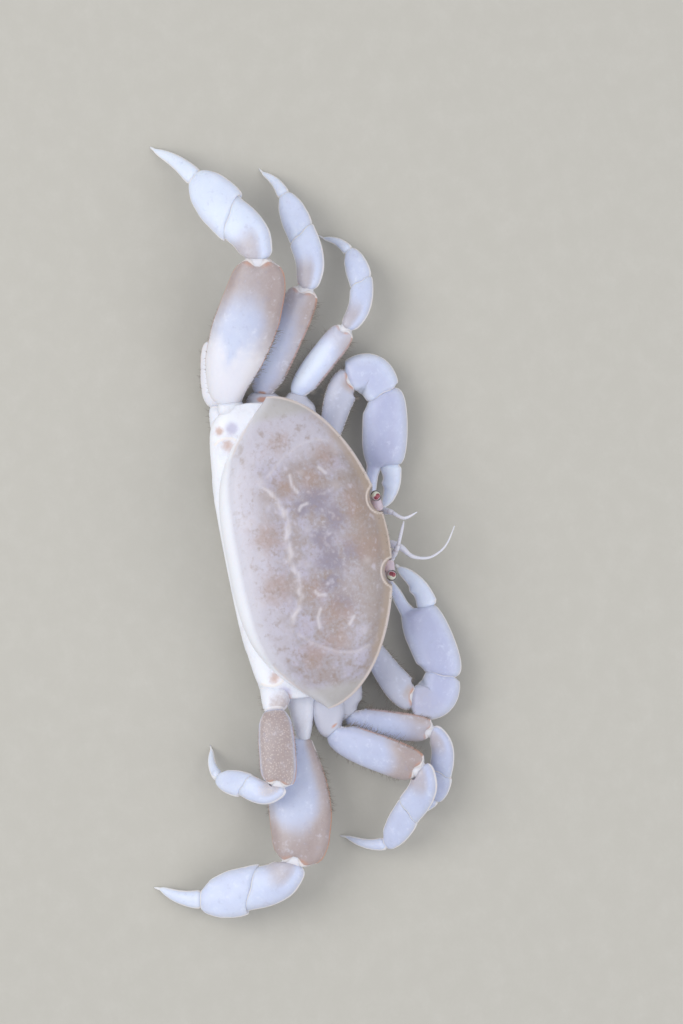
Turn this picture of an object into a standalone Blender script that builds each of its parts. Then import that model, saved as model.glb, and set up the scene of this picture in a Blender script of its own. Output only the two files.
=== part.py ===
"""Cylinder crab (a pinnixid pea crab), life size, resting on its belly.

The crab faces -Y, its left is +X and it rests on z = 0, with the origin on the floor under the
middle of its shell. Every size below is in millimetres and every angle in degrees; the meshes are
made in metres. Limbs are worked out for a left side, as (out, y, up), and mirrored for the right.
"""
import math
from collections import namedtuple

import bmesh
import bpy
from mathutils import Matrix, Vector

MM = 0.001
GAP = 0.3                      # between two pieces that meet

# Shell: twice as wide as long, and rounded like a cylinder from front to back
SHELL_HALF_WIDTH = 7.0
SHELL_MIDDLE_Y = 0.35          # where the shell is widest
SHELL_FRONT_REACH = 4.1
SHELL_REAR_REACH = 3.1
SHELL_MARGIN_Z = 3.1           # height of the front and side margins
SHELL_CREST_RISE = 1.85
SHELL_DEPTH_BELOW = 1.15
SHELL_ROUNDING = ((0.55, 0.7), (0.75, 0.95))    # below, then above: (rear, front); 1 is round

# How the shell draws in towards its sides: the power of the place, then of what is left of one
SHELL_FRONT_TAPER = (1.85, 0.55)
SHELL_REAR_TAPER = (3.6, 1.25)
SHELL_RISE_TAPER = (2.4, 0.58)
SHELL_FALL_TAPER = (4.0, 0.6)
SHELL_STATIONS = 34
SHELL_SIDES = 44

# Ridge across the shell, over the heart: it bends back towards both ends
RIDGE_HALF_LENGTH = 3.5
RIDGE_Y = 0.5
RIDGE_END_Y = 1.2
RIDGE_RISE = 0.14
RIDGE_WIDTH = 0.32

# Orbits: two notches in the front margin
ORBIT_CENTRE = (1.66, -3.62, 3.3)
ORBIT_RADII = (0.62, 0.5, 0.85)
ORBIT_SEGMENTS = 16
ORBIT_ROWS = 10

# Thorax: the belly plate that all the limbs grow from
THORAX_HALF_WIDTH = 4.4
THORAX_FRONT_Y = -2.45
THORAX_REAR_Y = 2.75
THORAX_BOTTOM_Z = 0.2
THORAX_TOP_Z = 1.6
THORAX_ROUNDING = 0.3          # along x, at both ends
THORAX_END_INSET = 0.08
THORAX_CORNERS = (0.4, 0.5)    # powers along y and z; 1 is round
THORAX_SIDES = 20
GROOVE_HALF_WIDTH = 1.9        # bed of the folded abdomen
GROOVE_WALL = 0.15             # half width of its sloping walls
GROOVE_Z = 0.8

# Abdomen: comes down behind the thorax and folds under it to the floor
ABDOMEN_THICK = 0.5
ABDOMEN_WALL_Y = 3.3
ABDOMEN_TOP_Z = 1.65
ABDOMEN_BEND = 0.6
ABDOMEN_TIP_Y = -1.4
ABDOMEN_WALL_WIDTHS = ((1.65, 4.05), (1.25, 4.1))     # height, half width
ABDOMEN_BEND_WIDTHS = ((90, 2.8), (67, 2.5), (45, 2.15), (22, 1.8), (0, 1.5))    # angle, half width
ABDOMEN_TAIL_WIDTHS = ((0.25, 1.4), (0.5, 1.15), (0.75, 0.85), (0.92, 0.6), (1, 0.35))
ABDOMEN_SECTION = ((-1, 0.4), (-0.8, 1), (0, 1), (0.8, 1), (1, 0.4), (0.95, -1), (0, -1),
                   (-0.95, -1))                       # shares of half the width and thickness

# Eyes on short stalks, antennae and mouth limbs
EYE_RADIUS = 0.25
EYE_CENTRE = (1.78, -3.53, 3.25)
EYE_STALK_ROOT = (1.36, -3.49, 3.1)
EYE_STALK_RADIUS = 0.17
EYE_NECK_RADIUS = 0.16
EYE_TURNS = (60, 90, 120, 150)    # places of the ball's rings, from the stalk
ANTENNA_ROOT_RADIUS = 0.24
ANTENNA_TIP_RADIUS = 0.09
ANTENNA_ROUTES = {
    "left": ((1.1, -3.6, 2.15), (0.95, -4.05, 2.6), (0.58, -4.56, 3.05), (0.73, -5.17, 3.35)),
    "right": ((-1.1, -3.6, 2.15), (-0.65, -4.0, 2.6), (0.05, -4.35, 2.7), (0.45, -4.53, 2.65)),
}
MOUTH_PLATE_WIDTH = 1.15
MOUTH_PLATE_THICK = 0.5
MOUTH_PLATE_Y = -2.95
MOUTH_PLATE_X = 0.72
MOUTH_PLATE_Z = (0.7, 1.9)
MOUTH_PLATE_OUTLINE = ((0, 0.5, 0.6), (0.12, 0.8, 0.9), (0.5, 1, 1), (0.85, 0.9, 1), (1, 0.65, 0.7))
MOUTH_PLATE_CORNERS = 0.7
MOUTH_PLATE_SIDES = 10
PALP_ROUTE = ((-0.55, -2.95, 1.6), (-0.4, -3.6, 1.9), (-0.63, -4.14, 2.0), (-1.15, -4.6, 1.9),
              (-1.35, -5.25, 1.75), (-1.19, -5.82, 1.65), (-0.85, -6.25, 1.6), (-0.2, -6.69, 1.6))
PALP_RADII = (0.25, 0.25, 0.26, 0.2, 0.14, 0.12, 0.1, 0.07)

# One stretch of a limb: its length, its heading from straight out towards the front, and how
# far it points down
Stretch = namedtuple("Stretch", "length sweep drop")

# Walking legs, numbered from the front: width across the flat and depth through it
LEG_SIZES = {
    1: {"base": (0.88, 0.9), "merus": (1.25, 0.75), "carpus": (1.02, 0.68),
        "propodus": (1.05, 0.6), "dactyl": (0.5, 0.5)},
    2: {"base": (0.96, 0.95), "merus": (1.65, 0.9), "carpus": (1.32, 0.82),
        "propodus": (1.25, 0.7), "dactyl": (0.58, 0.5)},
    3: {"base": (1.05, 1.0), "merus": (2.75, 1.25), "carpus": (1.8, 1.05),
        "propodus": (2.05, 0.9), "dactyl": (0.85, 0.55)},
    4: {"base": (1.2, 0.9), "merus": (1.6, 0.9), "carpus": (1.05, 0.7),
        "propodus": (1.12, 0.6), "dactyl": (0.5, 0.5)},
}
COXA_PLACES = {1: (-1.0, 0.95), 2: (0.12, 0.95), 3: (1.25, 0.98), 4: (2.6, 1.05)}   # y and height
MERUS_ROLL = {1: 18.0, 2: 18.0, 3: 5.0, 4: 4.0}    # front edge raised

# Pose of each walking leg: the hip, then merus, carpus, propodus, and the dactyl, whose drop
# follows from the height that is left
LEG_POSES = {
    ("left", 1): ((6.85, -1.05, 1.1), Stretch(3.65, 47, -13), Stretch(2.2, 30, 11),
                  Stretch(1.65, -9, 23), (1.5, -50)),
    ("left", 2): ((7.2, 0.45, 1.2), Stretch(5.05, 33, -13), Stretch(2.45, 8, 11),
                  Stretch(2.1, -12, 22), (1.75, -31)),
    ("left", 3): ((7.1, 1.8, 2.0), Stretch(6.4, 20, -13), Stretch(2.25, -17, 16),
                  Stretch(2.7, -31, 26), (2.75, -43)),
    ("left", 4): ((7.0, 2.5, 0.95), Stretch(2.9, 12, 4), Stretch(1.4, 45, 10),
                  Stretch(1.3, 51, 14), (1.4, 15)),
    ("right", 1): ((7.5, -0.55, 1.0), Stretch(3.6, 67, -7), Stretch(1.9, 4, 12),
                   Stretch(1.35, -23, 20), (1.4, -72)),
    ("right", 2): ((8.1, 0.3, 1.4), Stretch(4.15, 55, -13), Stretch(1.95, -24, 18),
                   Stretch(1.95, -45, 22), (2.0, -109)),
    ("right", 3): ((8.2, 1.7, 1.35), Stretch(5.4, -17, -7), Stretch(2.15, -66, 11),
                   Stretch(2.4, -88, 16), (2.1, -114)),
    ("right", 4): ((6.65, 2.72, 2.4), Stretch(3.3, -8, -12), Stretch(1.5, -99, 21),
                   Stretch(1.65, -116, 40), (1.85, -174)),
}
TOE_HEIGHT = 0.13              # middle of a toe's end over the floor
WRIST_SKEWS = {1: 33.0, 2: 33.0, 3: 40.0, 4: 33.0}   # the carpus is longer along its outer edge
KNEE_SHARE = 0.8               # the knee's cut is nearly square to the merus
CARPUS_BOW = 0.15              # and bulges there
DACTYL_BOW = 0.1
PIECE_CURVE = 0.45             # how far a piece follows its joints' directions
PIECE_CORNERS = 0.85           # power of its cross section; 1 is round
PIECE_END = 0.3                # share of a piece over which its rings turn to its end face
PIECE_STEP = 0.02              # share over which its direction is taken
STEEPEST = 0.7                 # least cosine allowed for when a ring is slanted

# Claw limbs: elbow, wrist, tip of the fixed finger, knuckle and tip of the movable finger
CLAW_COXA = (-2.0, 0.95)
CLAW_SIZES = {"base": (1.35, 0.95), "carpus": (1.6, 1.15), "palm": (2.0, 1.25),
              "finger": (0.95, 0.65)}
CLAW_POSES = {
    "left": ((7.0, -3.4, 1.2), (6.1, -4.6, 1.15), (1.45, -3.4, 0.85),
             (3.05, -4.45, 1.05), (1.22, -3.8, 0.95)),
    "right": ((7.25, -3.4, 1.25), (6.5, -4.75, 1.15), (1.95, -3.6, 0.85),
              (3.5, -4.85, 1.05), (1.5, -3.88, 0.95)),
}
CLAW_CARPUS_BOW = 0.45         # the wrist piece bulges out and forward
CLAW_FINGER_BOW = 0.12

# Outlines along a piece, from its root (0) to its end (1): reach towards the outer edge, reach
# towards the inner edge and depth, as shares of half the piece's width and depth
BASE_OUTLINE = ((0, 0.85, 0.85, 0.9), (0.15, 1, 1, 1), (0.45, 1.02, 1.02, 1), (0.56, 0.94, 0.94, 0.94),
                (0.66, 0.98, 0.98, 0.97), (0.85, 0.82, 0.82, 0.86), (1, 0.6, 0.6, 0.7))
BROAD_BASE_OUTLINE = ((0, 0.9, 0.9, 0.9), (0.15, 1, 1, 1), (0.5, 1, 1.05, 1), (0.7, 0.85, 1.16, 0.98),
                      (0.88, 0.6, 1.2, 0.9), (1, 0.46, 1.1, 0.78))
LAST_BASE_OUTLINE = ((0, 1.0, 0.75, 0.9), (0.1, 1.06, 0.78, 1), (0.5, 1.06, 0.76, 1),
                     (0.7, 0.96, 0.72, 0.95), (0.88, 0.8, 0.68, 0.88), (1, 0.6, 0.6, 0.78))
BASE_OUTLINES = {1: BASE_OUTLINE, 2: BASE_OUTLINE, 3: BROAD_BASE_OUTLINE, 4: LAST_BASE_OUTLINE}
MERUS_OUTLINE = ((0, 0.5, 0.5, 0.66), (0.1, 0.7, 0.7, 0.84), (0.26, 0.92, 0.92, 0.98),
                 (0.5, 1, 1.02, 1), (0.7, 1, 1.02, 0.98), (0.86, 0.9, 0.92, 0.9),
                 (0.96, 0.76, 0.78, 0.78), (1, 0.64, 0.66, 0.66))
BROAD_MERUS_OUTLINE = ((0, 0.26, 0.68, 0.66), (0.08, 0.34, 0.92, 0.8), (0.2, 0.52, 1.07, 0.94),
                       (0.35, 0.8, 1.1, 1), (0.5, 1.01, 1.02, 1), (0.62, 1.09, 0.91, 0.98),
                       (0.75, 1.09, 0.78, 0.95), (0.87, 0.99, 0.67, 0.88), (0.95, 0.83, 0.56, 0.76),
                       (1, 0.66, 0.46, 0.66))
CARPUS_OUTLINE = ((0, 0.62, 0.52, 0.72), (0.15, 0.88, 0.68, 0.9), (0.45, 1.05, 0.85, 1),
                  (0.75, 1.05, 0.95, 0.98), (0.93, 0.95, 0.9, 0.88), (1, 0.8, 0.78, 0.74))
PROPODUS_OUTLINE = ((0, 0.72, 0.76, 0.78), (0.12, 0.9, 0.95, 0.95), (0.35, 1, 1, 1),
                    (0.65, 0.86, 0.84, 0.9), (0.9, 0.6, 0.56, 0.78), (1, 0.48, 0.44, 0.66))
DACTYL_OUTLINE = ((0, 0.8, 0.8, 0.85), (0.15, 0.95, 0.95, 1), (0.45, 0.75, 0.75, 0.85),
                  (0.75, 0.5, 0.5, 0.62), (1, 0.24, 0.24, 0.4))
CLAW_BASE_OUTLINE = ((0, 0.5, 0.5, 0.7), (0.12, 0.62, 0.6, 0.85), (0.45, 0.85, 0.85, 1),
                     (0.75, 1, 1, 1), (0.92, 0.9, 0.85, 0.9), (1, 0.72, 0.7, 0.75))
CLAW_CARPUS_OUTLINE = ((0, 0.8, 0.56, 0.7), (0.12, 1.1, 0.72, 0.9), (0.4, 1.2, 1.05, 1),
                       (0.65, 1.2, 1.08, 1), (0.88, 1.1, 0.8, 0.94), (1, 0.92, 0.66, 0.84))
PALM_OUTLINE = ((0, 0.68, 0.6, 0.8), (0.05, 0.82, 0.74, 0.9), (0.15, 0.97, 0.86, 0.97),
                (0.3, 1.08, 0.9, 1), (0.45, 1.12, 0.86, 1), (0.54, 1.08, 0.75, 0.94),
                (0.6, 0.98, 0.62, 0.84), (0.625, 0.4, 0.55, 0.6), (0.65, 0.1, 0.5, 0.48),
                (0.8, 0.0, 0.46, 0.42), (0.93, -0.06, 0.34, 0.32), (1, -0.1, 0.24, 0.2))
FINGER_OUTLINE = ((0, 0.8, 0.8, 0.85), (0.12, 1, 0.9, 1), (0.4, 0.95, 0.75, 0.95),
                  (0.7, 0.68, 0.5, 0.75), (0.92, 0.4, 0.28, 0.5), (1, 0.22, 0.18, 0.3))

# Finishes: linear colour and roughness
Finish = namedtuple("Finish", "colour roughness")
SHELL_FINISH = Finish((0.42, 0.36, 0.31), 0.4)
BELLY_FINISH = Finish((0.72, 0.68, 0.64), 0.5)
LIMB_FINISH = Finish((0.66, 0.66, 0.72), 0.35)
CLAW_FINISH = Finish((0.68, 0.66, 0.7), 0.35)
EYE_FINISH = Finish((0.12, 0.03, 0.04), 0.15)
FEELER_FINISH = Finish((0.75, 0.72, 0.7), 0.4)


def clear_scene():
    for old in list(bpy.data.objects):
        bpy.data.objects.remove(old, do_unlink=True)


def finish_material(name, finish):
    material = bpy.data.materials.new(name + "_finish")
    material.use_nodes = True
    shader = material.node_tree.nodes["Principled BSDF"]
    shader.inputs["Base Color"].default_value = (*finish.colour, 1.0)
    shader.inputs["Roughness"].default_value = finish.roughness
    shader.inputs["Metallic"].default_value = 0.0
    return material


def loft(name, rings, finish):
    """A closed body through rings of points in millimetres; a ring of one point is a tip."""
    mesh = bmesh.new()
    rows = [[mesh.verts.new(Vector(point) * MM) for point in ring] for ring in rings]
    for near, far in zip(rows, rows[1:]):
        count = max(len(near), len(far))
        for k in range(count):
            following = (k + 1) % count
            if len(near) == 1:
                mesh.faces.new((near[0], far[k], far[following]))
            elif len(far) == 1:
                mesh.faces.new((near[k], far[0], near[following]))
            else:
                mesh.faces.new((near[k], far[k], far[following], near[following]))
    for row in (rows[0], rows[-1]):
        if len(row) > 1:
            mesh.faces.new(row)
    bmesh.ops.recalc_face_normals(mesh, faces=mesh.faces)
    data = bpy.data.meshes.new(name)
    mesh.to_mesh(data)
    mesh.free()
    data.shade_smooth()
    data.set_sharp_from_angle(angle=math.radians(45))
    data.materials.append(finish_material(name, finish))
    piece = bpy.data.objects.new(name, data)
    bpy.context.scene.collection.objects.link(piece)
    return piece


def signed_power(value, power):
    return math.copysign(abs(value) ** power, value)


def smooth(value):
    value = min(max(value, 0.0), 1.0)
    return value * value * (3.0 - 2.0 * value)


def heading(sweep, drop):
    """Unit direction, as (out, y, up)."""
    flat = math.cos(math.radians(drop))
    return Vector((flat * math.cos(math.radians(sweep)), -flat * math.sin(math.radians(sweep)),
                   -math.sin(math.radians(drop))))


def placed(point, side):
    """A left-hand point on its own side of the body."""
    return Vector((point[0] if side == "left" else -point[0], point[1], point[2]))


def limb_piece(name, side, ends, lines, size, outline, finish, skews=(0.0, 0.0), roll=0.0,
               bow=0.0, sides=10, edge=1.0, floor=None):
    """One piece of a limb between two joints.

    Its middle line leaves and arrives along the two directions in lines. Its end faces are
    square to them, or turned by the angles in skews, so that two pieces which share a joint meet
    face to face, with half the gap each.
    """
    leave, arrive = (Vector(line).normalized() for line in lines)
    start_normal, end_normal = (skewed(line, angle * edge)
                                for line, angle in zip((leave, arrive), skews))
    start = Vector(ends[0]) + start_normal * GAP / 2
    end = Vector(ends[1]) - end_normal * GAP / 2
    chord = end - start
    out_edge = chord.cross(Vector((0, 0, edge))).normalized()
    over = out_edge.cross(chord).normalized() * edge
    out_edge = out_edge * math.cos(math.radians(roll)) + over * math.sin(math.radians(roll))
    pull = chord.length * PIECE_CURVE

    def middle(t):
        a, b = 2 * t**3 - 3 * t**2 + 1, t**3 - 2 * t**2 + t
        c, d = 3 * t**2 - 2 * t**3, t**3 - t**2
        point = a * start + b * pull * leave + c * end + d * pull * arrive
        return point + out_edge * bow * math.sin(math.pi * t) ** 2

    rings = []
    for t, outer, inner, deep in outline:
        ahead, behind = min(t + PIECE_STEP, 1.0), max(t - PIECE_STEP, 0.0)
        run = (middle(ahead) - middle(behind)).normalized()
        normal = run.lerp(start_normal, smooth(1 - t / PIECE_END))
        normal = normal.lerp(end_normal, smooth(1 - (1 - t) / PIECE_END)).normalized()
        across = (out_edge - normal * out_edge.dot(normal)).normalized()
        through = across.cross(normal)
        wide = size[0] / max(normal.dot(run), STEEPEST)
        centre = middle(t) + across * (outer - inner) * wide / 4
        half_width, half_depth = (outer + inner) * wide / 4, deep * size[1] / 2
        ring = []
        for k in range(sides):
            angle = 2 * math.pi * (k + 0.5) / sides
            point = centre + across * half_width * signed_power(math.cos(angle), PIECE_CORNERS)
            point += through * half_depth * signed_power(math.sin(angle), PIECE_CORNERS)
            if floor is not None:
                point.z = max(point.z, floor)
            ring.append(placed(point, side))
        rings.append(ring)
    return loft(name, rings, finish)


def skewed(line, angle):
    """A joint's normal, turned about the vertical so that the outer edge reaches further."""
    return Matrix.Rotation(math.radians(angle), 3, "Z") @ line


def between(first, second, share=0.5):
    """Normal of the cut that two neighbouring pieces share."""
    return first.normalized().lerp(second.normalized(), 1 - share).normalized()


def walking_leg(side, number):
    hip, *stretches, toe = LEG_POSES[side, number]
    joints = [Vector((THORAX_HALF_WIDTH + GAP / 2, *COXA_PLACES[number])), Vector(hip)]
    for stretch in stretches:
        joints.append(joints[-1] + heading(stretch.sweep, stretch.drop) * stretch.length)
    fall = (joints[-1].z - TOE_HEIGHT) / toe[0]
    joints.append(joints[-1] + heading(toe[1], math.degrees(math.asin(fall))) * toe[0])
    runs = [b - a for a, b in zip(joints, joints[1:])]
    shares = (0.5, KNEE_SHARE, 0.5, 0.5)
    cuts = [between(a, b, share) for a, b, share in zip(runs, runs[1:], shares)]
    cuts = [Vector((1, 0, 0)), *cuts, runs[-1]]
    skews = (0.0, 0.0, 0.0, WRIST_SKEWS[number], 0.0, 0.0)
    merus = BROAD_MERUS_OUTLINE if number == 3 else MERUS_OUTLINE
    plans = (("base", BASE_OUTLINES[number], 0.0, 0.0, 10),
             ("merus", merus, MERUS_ROLL[number], 0.0, 12),
             ("carpus", CARPUS_OUTLINE, 8.0, CARPUS_BOW, 10),
             ("propodus", PROPODUS_OUTLINE, 5.0, 0.0, 10),
             ("dactyl", DACTYL_OUTLINE, 0.0, DACTYL_BOW, 8))
    for place, (part, outline, roll, bow, sides) in enumerate(plans):
        limb_piece(f"{side}_leg_{number}_{part}", side, joints[place:place + 2],
                   cuts[place:place + 2], LEG_SIZES[number][part], outline, LIMB_FINISH,
                   skews=skews[place:place + 2], roll=roll, bow=bow, sides=sides, floor=0.0)


def claw_limb(side):
    elbow, wrist, fixed_tip, knuckle, free_tip = (Vector(p) for p in CLAW_POSES[side])
    coxa = Vector((THORAX_HALF_WIDTH + GAP / 2, *CLAW_COXA))
    arm, fore, hand = elbow - coxa, wrist - elbow, fixed_tip - wrist
    bend, turn = between(arm, fore), between(fore, hand)
    limb_piece(side + "_claw_base", side, (coxa, elbow), ((1, 0, 0), bend), CLAW_SIZES["base"],
               CLAW_BASE_OUTLINE, CLAW_FINISH, sides=12, edge=-1.0)
    limb_piece(side + "_claw_carpus", side, (elbow, wrist), (bend, turn), CLAW_SIZES["carpus"],
               CLAW_CARPUS_OUTLINE, CLAW_FINISH, bow=CLAW_CARPUS_BOW, sides=12, edge=-1.0)
    limb_piece(side + "_claw_palm", side, (wrist, fixed_tip), (turn, hand), CLAW_SIZES["palm"],
               PALM_OUTLINE, CLAW_FINISH, sides=12, edge=-1.0)
    run = free_tip - knuckle
    limb_piece(side + "_claw_finger", side, (knuckle, free_tip), (hand, run),
               CLAW_SIZES["finger"], FINGER_OUTLINE, CLAW_FINISH, bow=CLAW_FINGER_BOW, edge=-1.0)


def taper(place, power, rest_power):
    return (1 - min(place, 1.0) ** power) ** rest_power


def shell_section(x):
    """The shell's outline across y and z at one place along its width."""
    front, rear, rise, fall = (
        reach * taper(abs(x) / SHELL_HALF_WIDTH, *powers) for reach, powers in (
            (SHELL_FRONT_REACH, SHELL_FRONT_TAPER), (SHELL_REAR_REACH, SHELL_REAR_TAPER),
            (SHELL_CREST_RISE, SHELL_RISE_TAPER), (SHELL_DEPTH_BELOW, SHELL_FALL_TAPER)))
    along_ridge = abs(x) / RIDGE_HALF_LENGTH
    ridge_y = RIDGE_Y + (RIDGE_END_Y - RIDGE_Y) * along_ridge**3
    ridge_rise = RIDGE_RISE * (1 - smooth((along_ridge - 0.8) / 0.3))
    ring = []
    for k in range(SHELL_SIDES):
        angle = 2 * math.pi * (k + 0.5) / SHELL_SIDES
        c, s = math.cos(angle), math.sin(angle)
        forward, upward = c < 0, s > 0
        power = SHELL_ROUNDING[upward][forward]
        y = SHELL_MIDDLE_Y + (front if forward else rear) * signed_power(c, power)
        z = SHELL_MARGIN_Z + (rise if upward else fall) * signed_power(s, power)
        if upward:
            z += ridge_rise * math.exp(-((y - ridge_y) / RIDGE_WIDTH) ** 2)
        ring.append((x, y, z))
    return ring


def ellipsoid(centre, radii):
    mesh = bmesh.new()
    bmesh.ops.create_uvsphere(mesh, u_segments=ORBIT_SEGMENTS, v_segments=ORBIT_ROWS, radius=1.0)
    shape = Matrix.Translation(Vector(centre) * MM) @ Matrix.Diagonal((*(Vector(radii) * MM), 1))
    bmesh.ops.transform(mesh, matrix=shape, verts=mesh.verts)
    data = bpy.data.meshes.new("cutter")
    mesh.to_mesh(data)
    mesh.free()
    piece = bpy.data.objects.new("cutter", data)
    bpy.context.scene.collection.objects.link(piece)
    return piece


def combine(piece, other, operation):
    """Apply a Boolean with another object, which is then removed."""
    step = piece.modifiers.new("step", "BOOLEAN")
    step.operation = operation
    step.solver = "EXACT"
    step.object = other
    made = bpy.data.meshes.new_from_object(
        piece.evaluated_get(bpy.context.evaluated_depsgraph_get()))
    piece.modifiers.clear()
    piece.data = made
    bpy.data.objects.remove(other, do_unlink=True)


def carapace():
    rings = [[(-SHELL_HALF_WIDTH, SHELL_MIDDLE_Y, SHELL_MARGIN_Z)]]
    for k in range(1, SHELL_STATIONS):
        turn = math.pi * (k / SHELL_STATIONS - 0.5)
        rings.append(shell_section(SHELL_HALF_WIDTH * math.sin(turn)))
    rings.append([(SHELL_HALF_WIDTH, SHELL_MIDDLE_Y, SHELL_MARGIN_Z)])
    shell = loft("carapace", rings, SHELL_FINISH)
    for side in ("left", "right"):
        combine(shell, ellipsoid(placed(ORBIT_CENTRE, side), ORBIT_RADII), "DIFFERENCE")


def thorax():
    """A flat-sided plate, with a groove along the middle of its underside."""
    right_half = [-THORAX_HALF_WIDTH, THORAX_ROUNDING - THORAX_HALF_WIDTH,
                  -GROOVE_HALF_WIDTH - GROOVE_WALL, GROOVE_WALL - GROOVE_HALF_WIDTH,
                  -GROOVE_HALF_WIDTH / 2]
    stations = [*right_half, 0.0, *(-x for x in reversed(right_half))]
    rings = []
    middle_y = (THORAX_FRONT_Y + THORAX_REAR_Y) / 2
    half_y = (THORAX_REAR_Y - THORAX_FRONT_Y) / 2
    for x in stations:
        bottom = GROOVE_Z if abs(x) < GROOVE_HALF_WIDTH else THORAX_BOTTOM_Z
        inset = THORAX_END_INSET if abs(x) == THORAX_HALF_WIDTH else 0.0
        middle_z, half_z = (THORAX_TOP_Z + bottom) / 2, (THORAX_TOP_Z - bottom) / 2 - inset
        ring = []
        for k in range(THORAX_SIDES):
            angle = 2 * math.pi * (k + 0.5) / THORAX_SIDES
            y = middle_y + (half_y - inset) * signed_power(math.cos(angle), THORAX_CORNERS[0])
            z = middle_z + half_z * signed_power(math.sin(angle), THORAX_CORNERS[1])
            ring.append((x, y, z))
        rings.append(ring)
    loft("thorax", rings, BELLY_FINISH)


def abdomen():
    """A plate that comes down behind the thorax, turns under it and narrows to the tail."""
    half = ABDOMEN_THICK / 2
    bend_y, bend_z = ABDOMEN_WALL_Y - ABDOMEN_BEND, half + ABDOMEN_BEND
    steps = [(ABDOMEN_WALL_Y, z, 90, half_width) for z, half_width in ABDOMEN_WALL_WIDTHS]
    for angle, half_width in ABDOMEN_BEND_WIDTHS:
        turn = math.radians(angle)
        steps.append((bend_y + ABDOMEN_BEND * math.sin(turn),
                      bend_z - ABDOMEN_BEND * math.cos(turn), angle, half_width))
    for share, half_width in ABDOMEN_TAIL_WIDTHS:
        steps.append((bend_y + (ABDOMEN_TIP_Y - bend_y) * share, half, 0, half_width))
    rings = []
    for y, z, angle, half_width in steps:
        out_y, out_z = math.sin(math.radians(angle)), -math.cos(math.radians(angle))
        rings.append([(across * half_width, y + out_y * half * outward, z + out_z * half * outward)
                      for across, outward in ABDOMEN_SECTION])
    loft("abdomen", rings, BELLY_FINISH)


def tube_rings(points, radii, sides=8, finer=3):
    """Rings along a smooth curve through hand-chosen points."""
    points = [Vector(point) for point in points]
    last = len(points) - 1
    places = []
    for k in range(last * finer + 1):
        i, t = min(k // finer, last - 1), k / finer - min(k // finer, last - 1)
        a, b, c, d = (points[min(max(i + j, 0), last)] for j in (-1, 0, 1, 2))
        place = 0.5 * (2 * b + (c - a) * t + (2 * a - 5 * b + 4 * c - d) * t**2
                       + (3 * b - a - 3 * c + d) * t**3)
        places.append((place, radii[i] + (radii[i + 1] - radii[i]) * t))
    rings = []
    for k, (place, radius) in enumerate(places):
        run = places[min(k + 1, len(places) - 1)][0] - places[max(k - 1, 0)][0]
        side = run.cross(Vector((0, 0, 1))).normalized()
        over = side.cross(run).normalized()
        turns = [2 * math.pi * (j + 0.5) / sides for j in range(sides)]
        rings.append([place + (side * math.cos(a) + over * math.sin(a)) * radius for a in turns])
    return rings


def eye(side):
    """The stalk and the round cornea on its end."""
    root, centre = placed(EYE_STALK_ROOT, side), placed(EYE_CENTRE, side)
    run = (centre - root).normalized()
    neck = centre - run * EYE_RADIUS * 0.85
    route = [root, root.lerp(neck, 0.5), neck]
    radii = [EYE_STALK_RADIUS, EYE_STALK_RADIUS, EYE_NECK_RADIUS]
    for turn in EYE_TURNS:
        route.append(centre - run * EYE_RADIUS * math.cos(math.radians(turn)))
        radii.append(EYE_RADIUS * math.sin(math.radians(turn)))
    loft("eye_" + side, tube_rings(route, radii, sides=10, finer=1), EYE_FINISH)


def antenna(side):
    route = ANTENNA_ROUTES[side]
    steps = len(route) - 1
    radii = [ANTENNA_ROOT_RADIUS + (ANTENNA_TIP_RADIUS - ANTENNA_ROOT_RADIUS) * k / steps
             for k in range(steps + 1)]
    loft("antenna_" + side, tube_rings(route, radii), FEELER_FINISH)


def mouth_limb(side):
    """The plate over the mouth; the right one has its feeding palp stretched forward."""
    low, high = MOUTH_PLATE_Z
    rings = []
    for share, wide, thick in MOUTH_PLATE_OUTLINE:
        half_width, half_thick = wide * MOUTH_PLATE_WIDTH / 2, thick * MOUTH_PLATE_THICK / 2
        ring = []
        for k in range(MOUTH_PLATE_SIDES):
            angle = 2 * math.pi * (k + 0.5) / MOUTH_PLATE_SIDES
            x = MOUTH_PLATE_X + half_width * signed_power(math.cos(angle), MOUTH_PLATE_CORNERS)
            y = MOUTH_PLATE_Y + half_thick * signed_power(math.sin(angle), MOUTH_PLATE_CORNERS)
            ring.append(placed((x, y, low + (high - low) * share), side))
        rings.append(ring)
    plate = loft("maxilliped_" + side, rings, FEELER_FINISH)
    if side == "right":
        combine(plate, loft("palp", tube_rings(PALP_ROUTE, PALP_RADII), FEELER_FINISH), "UNION")


def main():
    clear_scene()
    carapace()
    thorax()
    abdomen()
    for side in ("left", "right"):
        eye(side)
        antenna(side)
        mouth_limb(side)
        claw_limb(side)
        for number in LEG_SIZES:
            walking_leg(side, number)


main()
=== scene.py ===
"""Looks of a life-size cylinder crab: shell, claws, legs, eyes, feelers and hairs over the solids.

The crab faces -Y, its left is +X and it rests on z = 0. Every size below is in millimetres and
every angle in degrees; the meshes are made in metres. Limbs are worked out for a left side, as
(out, y, up), and mirrored for the right, from the same joints and sizes as the solids.
"""

import math

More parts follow.
